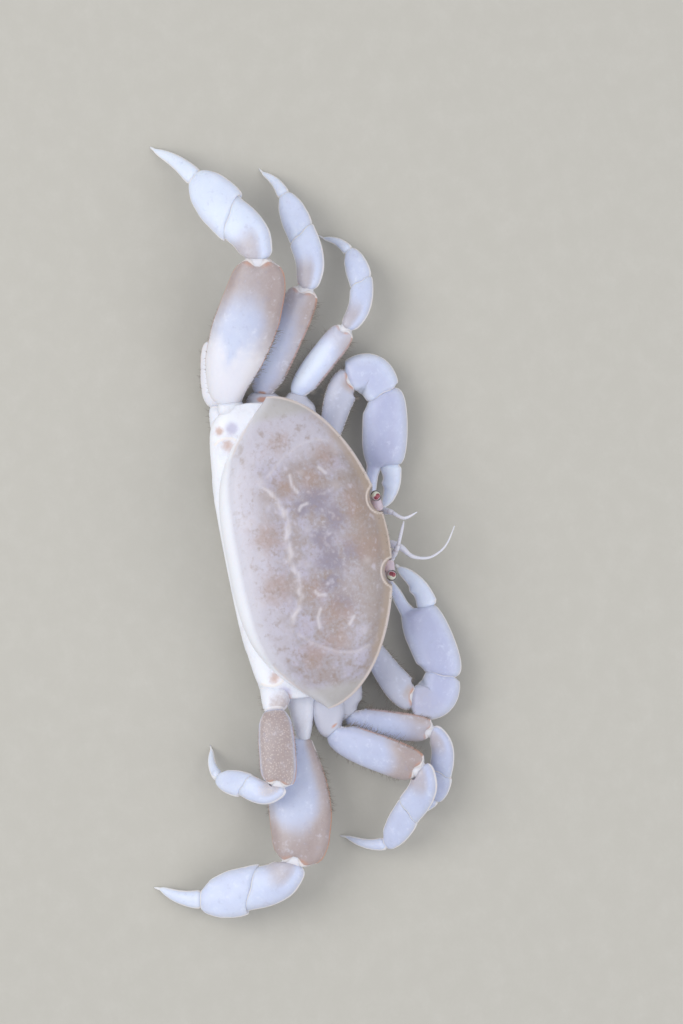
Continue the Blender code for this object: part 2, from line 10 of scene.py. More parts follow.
import bpy
import numpy as np
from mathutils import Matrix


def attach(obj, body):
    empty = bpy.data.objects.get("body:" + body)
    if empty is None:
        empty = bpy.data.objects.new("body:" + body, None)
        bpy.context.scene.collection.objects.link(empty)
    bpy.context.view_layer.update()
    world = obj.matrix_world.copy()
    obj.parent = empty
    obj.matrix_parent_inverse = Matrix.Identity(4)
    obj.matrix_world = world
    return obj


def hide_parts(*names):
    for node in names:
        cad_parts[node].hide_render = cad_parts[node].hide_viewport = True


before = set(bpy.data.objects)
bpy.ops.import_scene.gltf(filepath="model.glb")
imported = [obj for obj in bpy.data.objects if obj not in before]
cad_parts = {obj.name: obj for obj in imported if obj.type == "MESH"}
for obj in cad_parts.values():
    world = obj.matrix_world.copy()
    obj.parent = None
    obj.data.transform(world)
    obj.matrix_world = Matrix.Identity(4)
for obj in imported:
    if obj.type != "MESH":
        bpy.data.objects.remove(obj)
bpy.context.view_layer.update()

MM = 0.001
GAP = 0.3    # between two solids that meet; the shell pieces reach into it
OUTWARD = np.array((1.0, 0, 0))
SCENE = bpy.context.scene

# Shell of the back; a taper is the two powers by which a size falls towards the shell's ends
SHELL_HALF_WIDTH = 7.0
SHELL_MIDDLE_Y = 0.35
SHELL_FRONT_REACH = 4.1
SHELL_REAR_REACH = 3.1
SHELL_MARGIN_Z = 3.1
SHELL_CREST_RISE = 1.85
SHELL_DEPTH_BELOW = 1.15
SHELL_ROUNDING = ((0.55, 0.7), (0.75, 0.95))    # below, then above: (rear, front); 1 is round
SHELL_FRONT_TAPER = (1.85, 0.55)
SHELL_REAR_TAPER = (3.6, 1.25)
SHELL_RISE_TAPER = (2.4, 0.58)
SHELL_FALL_TAPER = (4.0, 0.6)
SHELL_STATIONS = 260
SHELL_SIDES = 264
ORBIT_CENTRE = (1.66, -3.62, 3.3)
ORBIT_RADII = (0.62, 0.5, 0.85)

# Marks on both halves of the back, as (out, y): the ridge over the heart, the grooves that bound
# the gill regions, the scars where muscles hold, and the rim that the back ends in behind
RIDGE_LINE = (
    (0.0, 0.66), (0.6, 0.6), (1.3, 0.5), (1.9, 0.52), (2.4, 0.78), (2.9, 1.05), (3.35, 1.25))
RIDGE_END = 2.9
RIDGE_WIDTHS = (0.15, 0.35, 0.13)    # of its rear slope, front slope and pale line
GROOVE_LINE = ((3.5, 1.0), (3.85, 0.6), (4.2, 0.15), (4.6, -0.6), (4.74, -1.35), (4.55, -1.95))
SCAR_LINES = (
    ((3.5, -1.3), (3.2, -1.56)), ((3.4, 0.0), (2.95, 0.0), (2.6, -0.18)),
    ((1.8, -0.1), (1.98, -0.22), (2.04, -0.52)))
REAR_RIM = (
    (0.0, 2.9), (1.1, 2.9), (2.9, 2.8), (3.6, 2.68), (4.5, 2.42), (5.0, 2.13), (5.5, 1.74),
    (5.95, 1.36), (6.5, 0.86), (6.8, 0.55), (7.1, 0.35))
GROOVE_WIDTH = 0.1
SCAR_WIDTH = 0.09
RIM_WIDTH = 0.08
BEAD_WIDTH = 0.055    # of the raised front margin, near the middle
BEAD_GROWTH = 0.035    # by which it is wider further out
BACK_RELIEF = {"crest": 0.07, "groove": -0.03, "scars": -0.015, "rim": 0.03, "bead": 0.035,
               "outside": -0.04}

# Round marks on the back, as (out, y, size) on both halves or (x, y, size) on the whole
SPOTS = ((4.0, -2.15, 0.13), (3.3, 1.22, 0.22), (1.85, 2.3, 0.3), (2.2, 0.72, 0.13))
TAN_PATCHES = (
    (3.1, -0.9, 0.6), (-2.9, -0.9, 0.9), (-1.7, 0.0, 0.6), (2.9, 0.3, 0.5), (-4.0, -0.6, 0.7),
    (1.4, -2.7, 0.9), (-0.2, -2.8, 1.0), (4.9, 0.2, 0.5), (-4.6, 0.5, 0.6), (0.9, 1.5, 0.7),
    (-1.3, 1.5, 0.7), (4.0, -1.7, 0.6))
HEART_PATCHES = (
    (2.1, -0.9, 0.75), (1.2, -1.6, 0.7), (0.4, -0.9, 0.6), (-0.6, -1.1, 0.75), (-1.5, -0.9, 0.6),
    (-2.5, -1.2, 0.6), (-0.4, -2.0, 0.6), (1.9, -0.2, 0.45))
PALE_PATCHES = (
    (4.2, -2.2, 0.35), (3.4, 1.3, 0.3), (1.7, 2.2, 0.45), (2.6, -1.9, 0.3), (-1.9, 2.3, 0.35),
    (-0.6, 0.0, 0.25), (-3.9, -1.9, 0.3), (0.2, 1.9, 0.3), (3.4, -0.5, 0.22), (-0.9, -2.6, 0.25),
    (2.3, 1.2, 0.3), (0.9, -0.3, 0.2))

# Belly
THORAX_HALF_WIDTH = 4.4
THORAX_FRONT_Y = -2.45
THORAX_REAR_Y = 2.75
THORAX_BOTTOM_Z = 0.2
THORAX_GRID = (240, 150)
BODY_TOP_Z = 2.75    # inside the back shell
BREAST_SEAMS = (-1.5, -0.45, 0.65, 1.75)
FLANK_SPREADS = {"left": 0.57, "right": 0.44}    # shares by which the body is wider up there
FLANK_DROPS = {"left": 0.25, "right": 0.5}    # how far its top falls towards each end
FLANK_LINE = ((0.0, 3.55), (3.0, 3.52), (5.0, 3.3), (6.9, 3.08))   # its rear edge, seen from above
HIP_LINE = ((5.25, 1.9), (5.47, 2.15), (5.56, 2.5), (5.5, 2.8), (5.38, 3.0))    # of the last legs
HIP_HOLLOW = (5.95, 2.1, 0.3)
HIP_SPOTS = (
    (5.22, 2.4, 0.32), (5.95, 2.7, 0.22), (-5.22, 2.4, 0.3), (-5.95, 2.7, 0.2), (-6.15, 2.08, 0.22))
GROOVE_HALF_WIDTH = 1.9
GROOVE_Z = 0.8
ABDOMEN_THICK = 0.5
ABDOMEN_WALL_Y = 3.3
ABDOMEN_TOP_Z = 1.65
ABDOMEN_BEND = 0.6
ABDOMEN_TIP_Y = -1.4
ABDOMEN_RINGS = 7
ABDOMEN_GRID = (120, 64)
ABDOMEN_HALF_WIDTHS = (
    (0, 4.0), (0.1, 4.1), (0.2, 3.0), (0.28, 2.2), (0.36, 1.55), (0.5, 1.35), (0.7, 1.0),
    (0.85, 0.75), (0.95, 0.5), (1, 0.3))

# Eyes, feelers and mouth limbs
EYE_RADIUS = 0.25
EYE_SIDES = 64
EYE_CENTRE = (1.78, -3.53, 3.25)
EYE_STALK_ROOT = (1.24, -3.47, 2.95)
EYE_STALK_RADII = (0.28, 0.19)    # at its root and behind the ball
EYE_STALK_GRID = (24, 28)
EYE_LOOK = (0.05, -0.08, 1.0)    # towards the middle of the eye's dark ring
EYE_RING_SIDE = (0.6, -0.8, 0.0)   # towards its strongest side
EYE_RING = (62, 13)    # angle from its middle, and width
EYE_SPOT = (-0.32, -0.05, 1.0)    # towards the red pigment
EYE_SPOT_TAIL = (0.25, -0.35, 0.0)    # and how far it trails from there
ANTENNA_RADII = ((0, 0.18), (0.3, 0.13), (0.45, 0.085), (0.75, 0.065), (1, 0.02))
ANTENNA_JOINTS = (0.14, 0.28, 0.4)
ANTENNA_GRID = (140, 16)
ANTENNA_ROUTES = {
    "left": ((1.1, -3.6, 2.15), (0.95, -4.05, 2.6), (0.58, -4.56, 3.05), (0.73, -5.17, 3.35)),
    "right": ((-1.1, -3.6, 2.15), (-0.65, -4.0, 2.6), (0.05, -4.35, 2.7), (0.45, -4.53, 2.65)),
}
MOUTH_PLATE_WIDTH = 1.15
MOUTH_PLATE_THICK = 0.5
MOUTH_PLATE_Y = -2.95
MOUTH_PLATE_X = 0.72
MOUTH_PLATE_Z = (0.7, 1.9)
MOUTH_PLATE_GRID = (40, 40)
MOUTH_PLATE_OUTLINE = ((0, 0.4, 0.5), (0.12, 0.8, 0.9), (0.5, 1, 1), (0.85, 0.9, 1), (1, 0.55, 0.6))
PALP_ROUTE = (
    (-0.55, -2.95, 1.6), (-0.4, -3.6, 1.9), (-0.63, -4.14, 2.0), (-1.15, -4.6, 1.9),
    (-1.35, -5.25, 1.75), (-1.19, -5.82, 1.65), (-0.85, -6.25, 1.6), (-0.2, -6.69, 1.6))
PALP_RADII = ((0.25,), (0.2,), (0.15,), (0.09,), (0.06,), (0.05,), (0.042,), (0.025,))
PALP_GRID = (160, 18)

# Walking legs 1 to 4: width and depth of each piece, and the pose of each leg
LEG_SIZES = {
    "base": ((0.88, 0.9), (0.96, 0.95), (1.05, 1.0), (1.2, 0.9)),
    "merus": ((1.25, 0.75), (1.65, 0.9), (2.75, 1.25), (1.6, 0.9)),
    "carpus": ((1.02, 0.68), (1.32, 0.82), (1.8, 1.05), (1.05, 0.7)),
    "propodus": ((1.05, 0.6), (1.25, 0.7), (2.05, 0.9), (1.12, 0.6)),
    "dactyl": ((0.5, 0.5), (0.58, 0.5), (0.85, 0.55), (0.5, 0.5)),
}
BASE_FILL = {    # by how much its soft skin makes a leg's root wider and deeper
    "left": ((1.65, 1.25), (2.1, 1.35), (1.5, 1.3), (1.3, 1.5)),
    "right": ((1.65, 1.25), (1.6, 1.25), (1.5, 1.3), (1.3, 1.5)),
}
COXA_PLACES = ((-1.0, 0.95), (0.12, 0.95), (1.25, 0.98), (2.6, 1.05))
MERUS_ROLLS = (18.0, 18.0, 5.0, 4.0)
WRIST_SKEWS = (33.0, 33.0, 40.0, 33.0)
BEND_SHARES = (0.5, 0.8, 0.5, 0.5)    # by which the cut at a joint follows the piece before it
LEG_POSES = {    # hip, then length, sweep and drop of three pieces, then length and sweep of the toe
    "left": (((6.85, -1.05, 1.1), (3.65, 47, -13), (2.2, 30, 11), (1.65, -9, 23), (1.5, -50)),
             ((7.2, 0.45, 1.2), (5.05, 33, -13), (2.45, 8, 11), (2.1, -12, 22), (1.75, -31)),
             ((7.1, 1.8, 2.0), (6.4, 20, -13), (2.25, -17, 16), (2.7, -31, 26), (2.75, -43)),
             ((7.0, 2.5, 0.95), (2.9, 12, 4), (1.4, 45, 10), (1.3, 51, 14), (1.4, 15))),
    "right": (((7.5, -0.55, 1.0), (3.6, 67, -7), (1.9, 4, 12), (1.35, -23, 20), (1.4, -72)),
              ((8.1, 0.3, 1.4), (4.15, 55, -13), (1.95, -24, 18), (1.95, -45, 22), (2.0, -109)),
              ((8.2, 1.7, 1.35), (5.4, -17, -7), (2.15, -66, 11), (2.4, -88, 16), (2.1, -114)),
              ((6.65, 2.72, 2.4), (3.3, -8, -12), (1.5, -99, 21), (1.65, -116, 40), (1.85, -174))),
}
TOE_HEIGHT = 0.13
PIECE_CURVE = 0.45
TOOTH_PITCH = 0.14    # of the fine saw edge on the broad merus
LIMB_SIDES = 44
DOME_ROWS = 6
CUFF_WIDTH = 0.86    # of the soft skin at a joint, as a share of the pieces that it joins
CUFF_ROWS = (-12, 9)    # where it starts in the piece before and ends in the piece after
CUFF_RINGS = 9

# Claw limbs: elbow, wrist, tip of the fixed finger, knuckle and tip of the free finger
CLAW_COXA = (-2.0, 0.95)
CLAW_SIZES = {"base": (1.35, 0.95), "carpus": (1.6, 1.15), "palm": (2.0, 1.25),
              "finger": (0.95, 0.65)}
CLAW_POSES = {
    "left": ((7.0, -3.4, 1.2), (6.1, -4.6, 1.15), (1.45, -3.4, 0.85), (3.05, -4.45, 1.05),
             (1.22, -3.8, 0.95)),
    "right": ((7.25, -3.4, 1.25), (6.5, -4.75, 1.15), (1.95, -3.6, 0.85), (3.5, -4.85, 1.05),
              (1.5, -3.88, 0.95)),
}

# Outlines along a piece, in hundredths, from its root (0) to its end (100): reach towards the outer
# edge, reach towards the inner edge and depth, as parts of half the piece's width and depth
BASE_OUTLINE = (
    (0, 85, 85, 90), (15, 100, 100, 100), (45, 102, 102, 100), (56, 94, 94, 94), (66, 98, 98, 97),
    (85, 82, 82, 86), (100, 56, 56, 64))
BROAD_BASE_OUTLINE = (
    (0, 90, 90, 90), (15, 100, 100, 100), (50, 95, 100, 100), (70, 75, 102, 98), (88, 54, 100, 92),
    (100, 42, 90, 80))
LAST_BASE_OUTLINE = (
    (0, 110, 75, 90), (10, 115, 76, 100), (50, 115, 70, 100), (60, 106, 64, 95), (70, 104, 64, 95),
    (88, 80, 60, 84), (100, 54, 52, 66))
TAPERED_BASE_OUTLINE = (
    (0, 115, 110, 90), (30, 125, 110, 100), (55, 95, 86, 100), (80, 55, 56, 85), (100, 30, 34, 64))
BASE_OUTLINES = {
    "left": (BASE_OUTLINE, BASE_OUTLINE, BROAD_BASE_OUTLINE, LAST_BASE_OUTLINE),
    "right": (BASE_OUTLINE, BASE_OUTLINE, TAPERED_BASE_OUTLINE, LAST_BASE_OUTLINE),
}
MERUS_OUTLINE = (
    (0, 50, 50, 62), (10, 70, 70, 84), (26, 92, 92, 98), (50, 100, 102, 100), (70, 100, 102, 98),
    (86, 93, 95, 88), (96, 80, 82, 72), (100, 66, 68, 60))
BROAD_MERUS_OUTLINE = (
    (0, 26, 56, 64), (8, 34, 74, 80), (20, 52, 92, 94), (35, 80, 105, 100), (50, 101, 102, 100),
    (62, 109, 91, 98), (75, 109, 78, 95), (87, 99, 67, 87), (95, 81, 54, 74), (100, 60, 40, 60))
CARPUS_OUTLINE = (
    (0, 50, 42, 62), (6, 66, 54, 80), (18, 88, 70, 94), (45, 105, 86, 100), (75, 106, 97, 98),
    (93, 99, 96, 92), (100, 92, 90, 84))
PROPODUS_OUTLINE = (
    (0, 80, 84, 76), (12, 95, 98, 95), (35, 103, 103, 100), (65, 90, 88, 90), (88, 62, 60, 72),
    (100, 46, 44, 58))
DACTYL_OUTLINE = (
    (0, 78, 78, 80), (12, 95, 95, 100), (45, 74, 74, 80), (75, 46, 46, 52), (100, 14, 14, 20))
CLAW_BASE_OUTLINE = (
    (0, 50, 50, 70), (12, 62, 60, 85), (45, 85, 85, 100), (75, 100, 100, 100), (92, 92, 88, 90),
    (100, 80, 78, 78))
CLAW_CARPUS_OUTLINE = (
    (0, 80, 56, 70), (12, 112, 72, 90), (40, 120, 108, 100), (65, 120, 112, 100), (88, 114, 82, 96),
    (100, 100, 72, 88))
PALM_OUTLINE = (
    (0, 74, 68, 84), (5, 86, 78, 92), (15, 99, 87, 98), (30, 108, 90, 100), (45, 112, 86, 100),
    (54, 108, 75, 94), (59, 96, 64, 84), (61.5, 50, 57, 66), (64, 14, 52, 50), (72, 2, 50, 44),
    (80, 2, 46, 40), (93, -5, 34, 28), (100, -10, 20, 14))
FINGER_OUTLINE = (
    (0, 84, 80, 85), (12, 100, 90, 100), (36, 95, 70, 93), (46, 90, 80, 88), (56, 82, 56, 80),
    (75, 62, 42, 64), (92, 36, 24, 40), (100, 16, 12, 20))

# Bristles: from and to along the piece, on which edge, how many and how long
SHELL_FRINGE = ((0.44, 0.56, -1, 60, 0.13), (0.27, 0.4, -1, 40, 0.12), (0.6, 0.73, -1, 40, 0.12))
CLAW_FRINGE = ((0.3, 0.98, 1, 90, 0.34), (0.2, 0.95, -1, 60, 0.3))
ROOT_FRINGE = ((0.2, 0.95, 1, 40, 0.35), (0.2, 0.95, -1, 40, 0.3))
LEG_FRINGES = {
    "base": (ROOT_FRINGE, ROOT_FRINGE, ((0.3, 0.95, 1, 50, 0.35),), ((0.6, 0.98, -1, 16, 0.2),)),
    "merus": (((0.05, 0.9, 1, 120, 0.3), (0.1, 0.8, -1, 70, 0.25)),
              ((0.05, 0.9, 1, 150, 0.34), (0.1, 0.8, -1, 80, 0.25)),
              ((0.1, 0.55, 1, 110, 0.32), (0.1, 0.6, -1, 60, 0.18)),
              ((0.3, 0.8, -1, 40, 0.16), (0.2, 0.6, 1, 40, 0.16))),
}
BRISTLE_RADIUS = 0.013
BRISTLE_TAPER = 0.8
BRISTLE_LENGTHS = (0.55, 1.1)    # shares of a fringe's length, from the shortest to the longest
BRISTLE_LEAN = (0.1, 0.7)    # towards the piece's end
BRISTLE_STRAY = (0.25, 0.25, 0.12)
BRISTLE_BEND = 0.22
BRISTLE_DEPTH = 0.04    # of its root in the skin
BRISTLE_STEPS = 6
BRISTLE_EDGE = 0.93    # the least share of half a piece's width at which they grow
UV_PATCH = 0.003    # across one bristle's patch on the unwrap
grow = np.random.default_rng(23)


# Shapes

def unit(vectors):
    vectors = np.asarray(vectors, float)
    return vectors / np.linalg.norm(vectors, axis=-1, keepdims=True)


def smooth(values):
    values = np.clip(values, 0.0, 1.0)
    return values * values * (3.0 - 2.0 * values)


def ramp(values, start, span):
    """Smoothly from 0 at the start to 1 a span further on, which is backwards if negative."""
    return smooth((values - start) / span)


def hump(values, width):
    return np.exp(-(np.asarray(values) / width) ** 2)


def signed_power(values, power):
    return np.sign(values) * np.abs(values) ** power


def around(count):
    return 2 * math.pi * (np.arange(count) + 0.5) / count


def circle(count):
    return np.cos(around(count))[None], np.sin(around(count))[None]


def read_table(table, places):
    """Smooth values between a table's rows, without overshoot; its first column is the place."""
    table = np.array(table, float)
    at, values = table[:, 0], table[:, 1:]
    steps = np.diff(at)[:, None]
    rises = np.diff(values, axis=0) / steps
    same_way = rises[:-1] * rises[1:] > 0
    total = np.where(same_way, rises[:-1] + rises[1:], 1.0)
    slopes = np.vstack((rises[:1], np.where(same_way, 2 * rises[:-1] * rises[1:] / total, 0.0),
                        rises[-1:]))
    k = np.clip(np.searchsorted(at, places, side="right") - 1, 0, len(at) - 2)
    s, run = ((places - at[k])[:, None] / steps[k]), steps[k]
    return ((2 * s**3 - 3 * s**2 + 1) * values[k] + (s**3 - 2 * s**2 + s) * run * slopes[k]
            + (3 * s**2 - 2 * s**3) * values[k + 1] + (s**3 - s**2) * run * slopes[k + 1])


def cos_sin(angle):
    return math.cos(math.radians(angle)), math.sin(math.radians(angle))


def turned(line, angle):
    """A direction turned about the vertical."""
    c, s = cos_sin(angle)
    return np.array((c * line[0] - s * line[1], s * line[0] + c * line[1], line[2]))


def heading(sweep, drop):
    """The direction of a limb swept forward from straight out, and dropped below the level."""
    (ahead, aside), (flat, fall) = cos_sin(sweep), cos_sin(drop)
    return np.array((flat * ahead, -flat * aside, -fall))


def between(first, second, share=0.5):
    return unit(unit(first) * share + unit(second) * (1 - share))


def placed(points, side):
    """Left-hand points on their own side of the body."""
    return np.asarray(points, float) * ((1, 1, 1) if side == "left" else (-1, 1, 1))


def stripe(points, line, width):
    """How strongly a line of (out, y), drawn on both halves, shows at points seen from above."""
    out = np.abs(points[..., 0])
    nearest = np.full(points.shape[:-1], 1e9)
    for (ax, ay), (bx, by) in zip(line, line[1:]):
        run = (bx - ax) ** 2 + (by - ay) ** 2
        share = np.clip(((out - ax) * (bx - ax) + (points[..., 1] - ay) * (by - ay)) / run, 0, 1)
        gap = np.hypot(out - ax - share * (bx - ax), points[..., 1] - ay - share * (by - ay))
        nearest = np.minimum(nearest, gap)
    return hump(nearest, width)


def dots(x, y, places):
    """How strongly round marks, given as (x, y, size), show at points seen from above."""
    return np.max([hump(np.hypot(x - at_x, y - at_y), size) for at_x, at_y, size in places], axis=0)


# Making the pieces

def put_in(name, data):
    """An object of some data, in the scene."""
    made = bpy.data.objects.new(name, data)
    SCENE.collection.objects.link(made)
    return made


def make_piece(name, points, faces, finish, nodes=(), masks=None):
    """A piece from points in millimetres, with its masks as attributes for its finish."""
    data = bpy.data.meshes.new(name)
    data.from_pydata((np.asarray(points) * MM).tolist(), [], faces)
    data.shade_smooth()
    for mask, values in (masks or {}).items():
        values = np.ascontiguousarray(values, np.float32)
        data.attributes.new(mask, "FLOAT", "POINT").data.foreach_set("value", values)
    data.materials.append(finish)
    piece = put_in(name, data)
    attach(piece, "root")
    if nodes:
        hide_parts(*nodes)
    return piece


def quads_between(start, sides):
    """Faces from rings whose first points are given to the ring after each."""
    k = np.arange(sides)
    after = (k + 1) % sides
    quads = np.stack((start + k, start + after, start + sides + after, start + sides + k), -1)
    return quads.reshape(-1, 4)


def ring_faces(rings, first=0):
    """Points and outward faces of a closed skin over rings of points, each end drawn to a point."""
    rows, sides = rings.shape[:2]
    points = np.vstack((rings.reshape(-1, 3), rings[0].mean(0), rings[-1].mean(0)))
    k = np.arange(sides)
    after = (k + 1) % sides
    quads = quads_between((np.arange(rows - 1) * sides)[:, None], sides)
    low_end, high_end = rows * sides, rows * sides + 1
    low = np.stack((np.full(sides, low_end), after, k), -1)
    high = np.stack((np.full(sides, high_end), low_end - sides + k, low_end - sides + after), -1)
    corners = points[quads]
    swept = np.cross(corners[:, 2] - corners[:, 0], corners[:, 3] - corners[:, 1])
    outward = (swept * (corners.mean(1) - points.mean(0))).sum() > 0
    faces = [*quads.tolist(), *low.tolist(), *high.tolist()]
    if not outward:
        faces = [face[::-1] for face in faces]
    return points, [[corner + first for corner in face] for face in faces]


def ring_piece(name, parts, finish, nodes=(), masks=None):
    """One or several closed skins as a piece; a mask has numbers for all points of each skin."""
    parts = parts if isinstance(parts, list) else [parts]
    points, faces, count = [], [], 0
    worn = {mask: [] for mask in masks or {}}
    for k, rings in enumerate(parts):
        part_points, part_faces = ring_faces(rings, count)
        points.append(part_points)
        faces += part_faces
        count += len(part_points)
        for mask in worn:
            values = masks[mask][k] if len(parts) > 1 else masks[mask]
            values = np.broadcast_to(values, rings.shape[:2])
            worn[mask] += [values.ravel(), (values[0].mean(), values[-1].mean())]
    return make_piece(name, np.vstack(points), faces, finish, nodes,
                      {mask: np.concatenate(values) for mask, values in worn.items()})


def limb_course(t, ends, lines, size, outline, reach, skews=(0.0, 0.0), roll=0.0, bow=0.0,
                edge=1.0):
    """A limb piece's middle line, its directions, half sizes and length, row by row."""
    leave, arrive = unit(lines[0]), unit(lines[1])
    first, last = turned(leave, skews[0] * edge), turned(arrive, skews[1] * edge)
    start = ends[0] + first * (GAP / 2 - reach[0])
    end = ends[1] - last * (GAP / 2 - reach[1])
    chord = end - start
    length = np.linalg.norm(chord)
    out_edge = unit(np.cross(chord, (0, 0, edge)))
    over = unit(np.cross(out_edge, chord)) * edge
    c, s = cos_sin(roll)
    out_edge = out_edge * c + over * s
    pull = length * PIECE_CURVE

    def middle(places):
        s = places[:, None]
        return ((2 * s**3 - 3 * s**2 + 1) * start + (s**3 - 2 * s**2 + s) * pull * leave
                + (3 * s**2 - 2 * s**3) * end + (s**3 - s**2) * pull * arrive
                + out_edge * bow * np.sin(math.pi * s) ** 2)

    run = unit(middle(np.minimum(t + 0.02, 1)) - middle(np.maximum(t - 0.02, 0)))
    near, far = smooth(1 - t / 0.3)[:, None], smooth(1 - (1 - t) / 0.3)[:, None]
    normal = run * (1 - near) + first * near
    normal = unit(normal * (1 - far) + last * far)
    across = unit(out_edge - normal * (normal @ out_edge)[:, None])
    through = np.cross(across, normal) * edge
    wide = (size[0] / np.maximum((normal * run).sum(1), 0.7))[:, None]
    outer, inner, deep = read_table(np.array(outline) / 100, t).T[..., None]
    centre = middle(t) + across * ((outer - inner) * wide / 4)
    return (centre, across, through, normal, (outer + inner) * wide / 4, deep * size[1] / 2,
            length, last)


def limb_rings(side, domes=(0.1, 0.1), corner=(0.95, 0.95), lobes=0.0, rim=0.008, teeth=0.0,
               rows=60, **course):
    """Rings of one shell piece of a limb, and where each point lies on it."""
    phi = (np.arange(DOME_ROWS) + 0.5) / DOME_ROWS * math.pi / 2
    t = np.concatenate((np.zeros(DOME_ROWS), np.linspace(0, 1, rows), np.ones(DOME_ROWS)))
    shrink = np.concatenate((np.sin(phi), np.ones(rows), np.sin(phi[::-1])))[:, None]
    push = np.concatenate((-np.cos(phi) * domes[0], np.zeros(rows), np.cos(phi[::-1]) * domes[1]))
    middle, across, through, normal, half_width, half_depth, length, last = limb_course(t, **course)
    t = t[:, None]
    turn = around(LIMB_SIDES)
    turn = turn - 0.35 * np.sin(2 * turn)    # closer together along both margins
    c, s = np.cos(turn), np.sin(turn)
    along_width = half_width * signed_power(c, corner[0])
    along_depth = half_depth * signed_power(s, corner[1])
    thin_edge = hump(along_depth, 0.07)
    bead = rim * thin_edge
    if teeth:
        saw = np.sin(math.pi * t * length / TOOTH_PITCH) ** 2
        bead = bead + teeth * thin_edge * (c > 0) * saw
    along_width = along_width + np.sign(c) * bead
    rings = (middle[:, None] + across[:, None] * (along_width * shrink)[..., None]
             + through[:, None] * (along_depth * shrink)[..., None]
             + (normal * push[:, None])[:, None])
    if lobes:
        wave = np.where(np.abs(c) < 0.6, -np.cos(math.pi * c / 0.6),
                        np.cos(math.pi * (np.abs(c) - 0.6) / 0.8))
        rings = rings + last * (lobes * ramp(t, 0.78, 0.22) * wave)[..., None]
        dent = lobes * 0.9 * hump(c, 0.16) * ramp(t, 0.86, 0.14) * np.sign(s)
        rings = rings - through[:, None] * dent[..., None]
    rings[..., 2] = np.maximum(rings[..., 2], 0.0)
    return placed(rings, side), {"t": t, "c": c[None], "s": s[None], "depth": np.abs(along_depth),
                                 "margin": half_width * (1 - np.abs(c))}


# Colours and finishes

def paint(code):
    """A screen colour such as C2C2D0, as linear light."""
    parts = [int(code[k:k + 2], 16) / 255 for k in (0, 2, 4)]
    return (*[c / 12.92 if c <= 0.04045 else ((c + 0.055) / 1.055) ** 2.4 for c in parts], 1.0)


def add(tree, kind, feeds=(), **settings):
    """A node with its settings; feeds pair an input with a value or with another node's output."""
    node = tree.nodes.new("ShaderNode" + kind)
    for name, value in settings.items():
        setattr(node, name, value)
    for place, value in feeds:
        if isinstance(value, bpy.types.NodeSocket):
            tree.links.new(value, node.inputs[place])
        else:
            node.inputs[place].default_value = value
    return node


# The patterns of every finish, each with its scale per millimetre: clouds about 1 mm across, grain
# of about 0.15 mm, cells of about 0.1 mm and blots of about 0.4 mm
PATTERNS = (
    ("TexNoise", "Fac", {"Scale": 1.0, "Detail": 4.0, "Roughness": 0.6}),
    ("TexNoise", "Fac", {"Scale": 6.5, "Detail": 3.0, "Roughness": 0.6}),
    ("TexVoronoi", "Distance", {"Scale": 11.0, "Randomness": 1.0}),
    ("TexNoise", "Fac", {"Scale": 2.3, "Detail": 2.0, "Roughness": 0.5}))
PIT_DEPTH = 0.03


def finish(name, colour, layers=(), pits=0.0, **values):
    """A procedural finish: a colour with layers over it, fine relief, and the shader's values.

    A layer is a colour, its mask, the two heights between which it comes in, its strength, and by
    how much clouds, grain, cells and blots shake that mask.
    """
    made = bpy.data.materials.new(name)
    made.use_nodes = True
    tree = made.node_tree
    tree.nodes.clear()
    place = add(tree, "Mapping", [
        ("Vector", add(tree, "TexCoord").outputs["Object"]),
        ("Scale", (1 / MM, 1 / MM, 1 / MM))]).outputs[0]
    patterns = [add(tree, kind, [("Vector", place), *settings.items()]).outputs[result]
                for kind, result, settings in PATTERNS]
    shown = paint(colour)
    for tint, mask, low, high, strength, shake in layers:
        height = 0.0
        if mask:
            height = add(tree, "Attribute", attribute_name=mask).outputs["Fac"]
        for pattern, amount in zip(patterns, shake):
            if amount:
                height = add(tree, "Math", [(0, pattern), (1, amount), (2, height)],
                             operation="MULTIPLY_ADD").outputs[0]
        middle = sum(shake) / 2
        share = add(tree, "MapRange", [
            ("Value", height), ("From Min", low + middle), ("From Max", high + middle),
            ("To Max", strength)], interpolation_type="SMOOTHSTEP")
        shown = add(tree, "Mix", [
            (0, share.outputs[0]), (6, shown), (7, paint(tint))], data_type="RGBA").outputs[2]
    feeds = [("Base Color", shown)]
    feeds += [(key.replace("_", " "), value) for key, value in values.items()]
    if pits:
        relief = add(tree, "Bump", [
            ("Strength", pits), ("Distance", PIT_DEPTH * MM), ("Height", patterns[1])])
        feeds.append(("Normal", relief.outputs[0]))
    shader = add(tree, "BsdfPrincipled", feeds)
    add(tree, "OutputMaterial", [("Surface", shader.outputs[0])])
    return made


def flesh(share, depth):
    """Light that enters the flesh: its share, and how deep; red travels furthest."""
    return {"Subsurface Weight": share, "Subsurface Radius": (1.0, 0.85, 0.75),
            "Subsurface Scale": depth * MM}


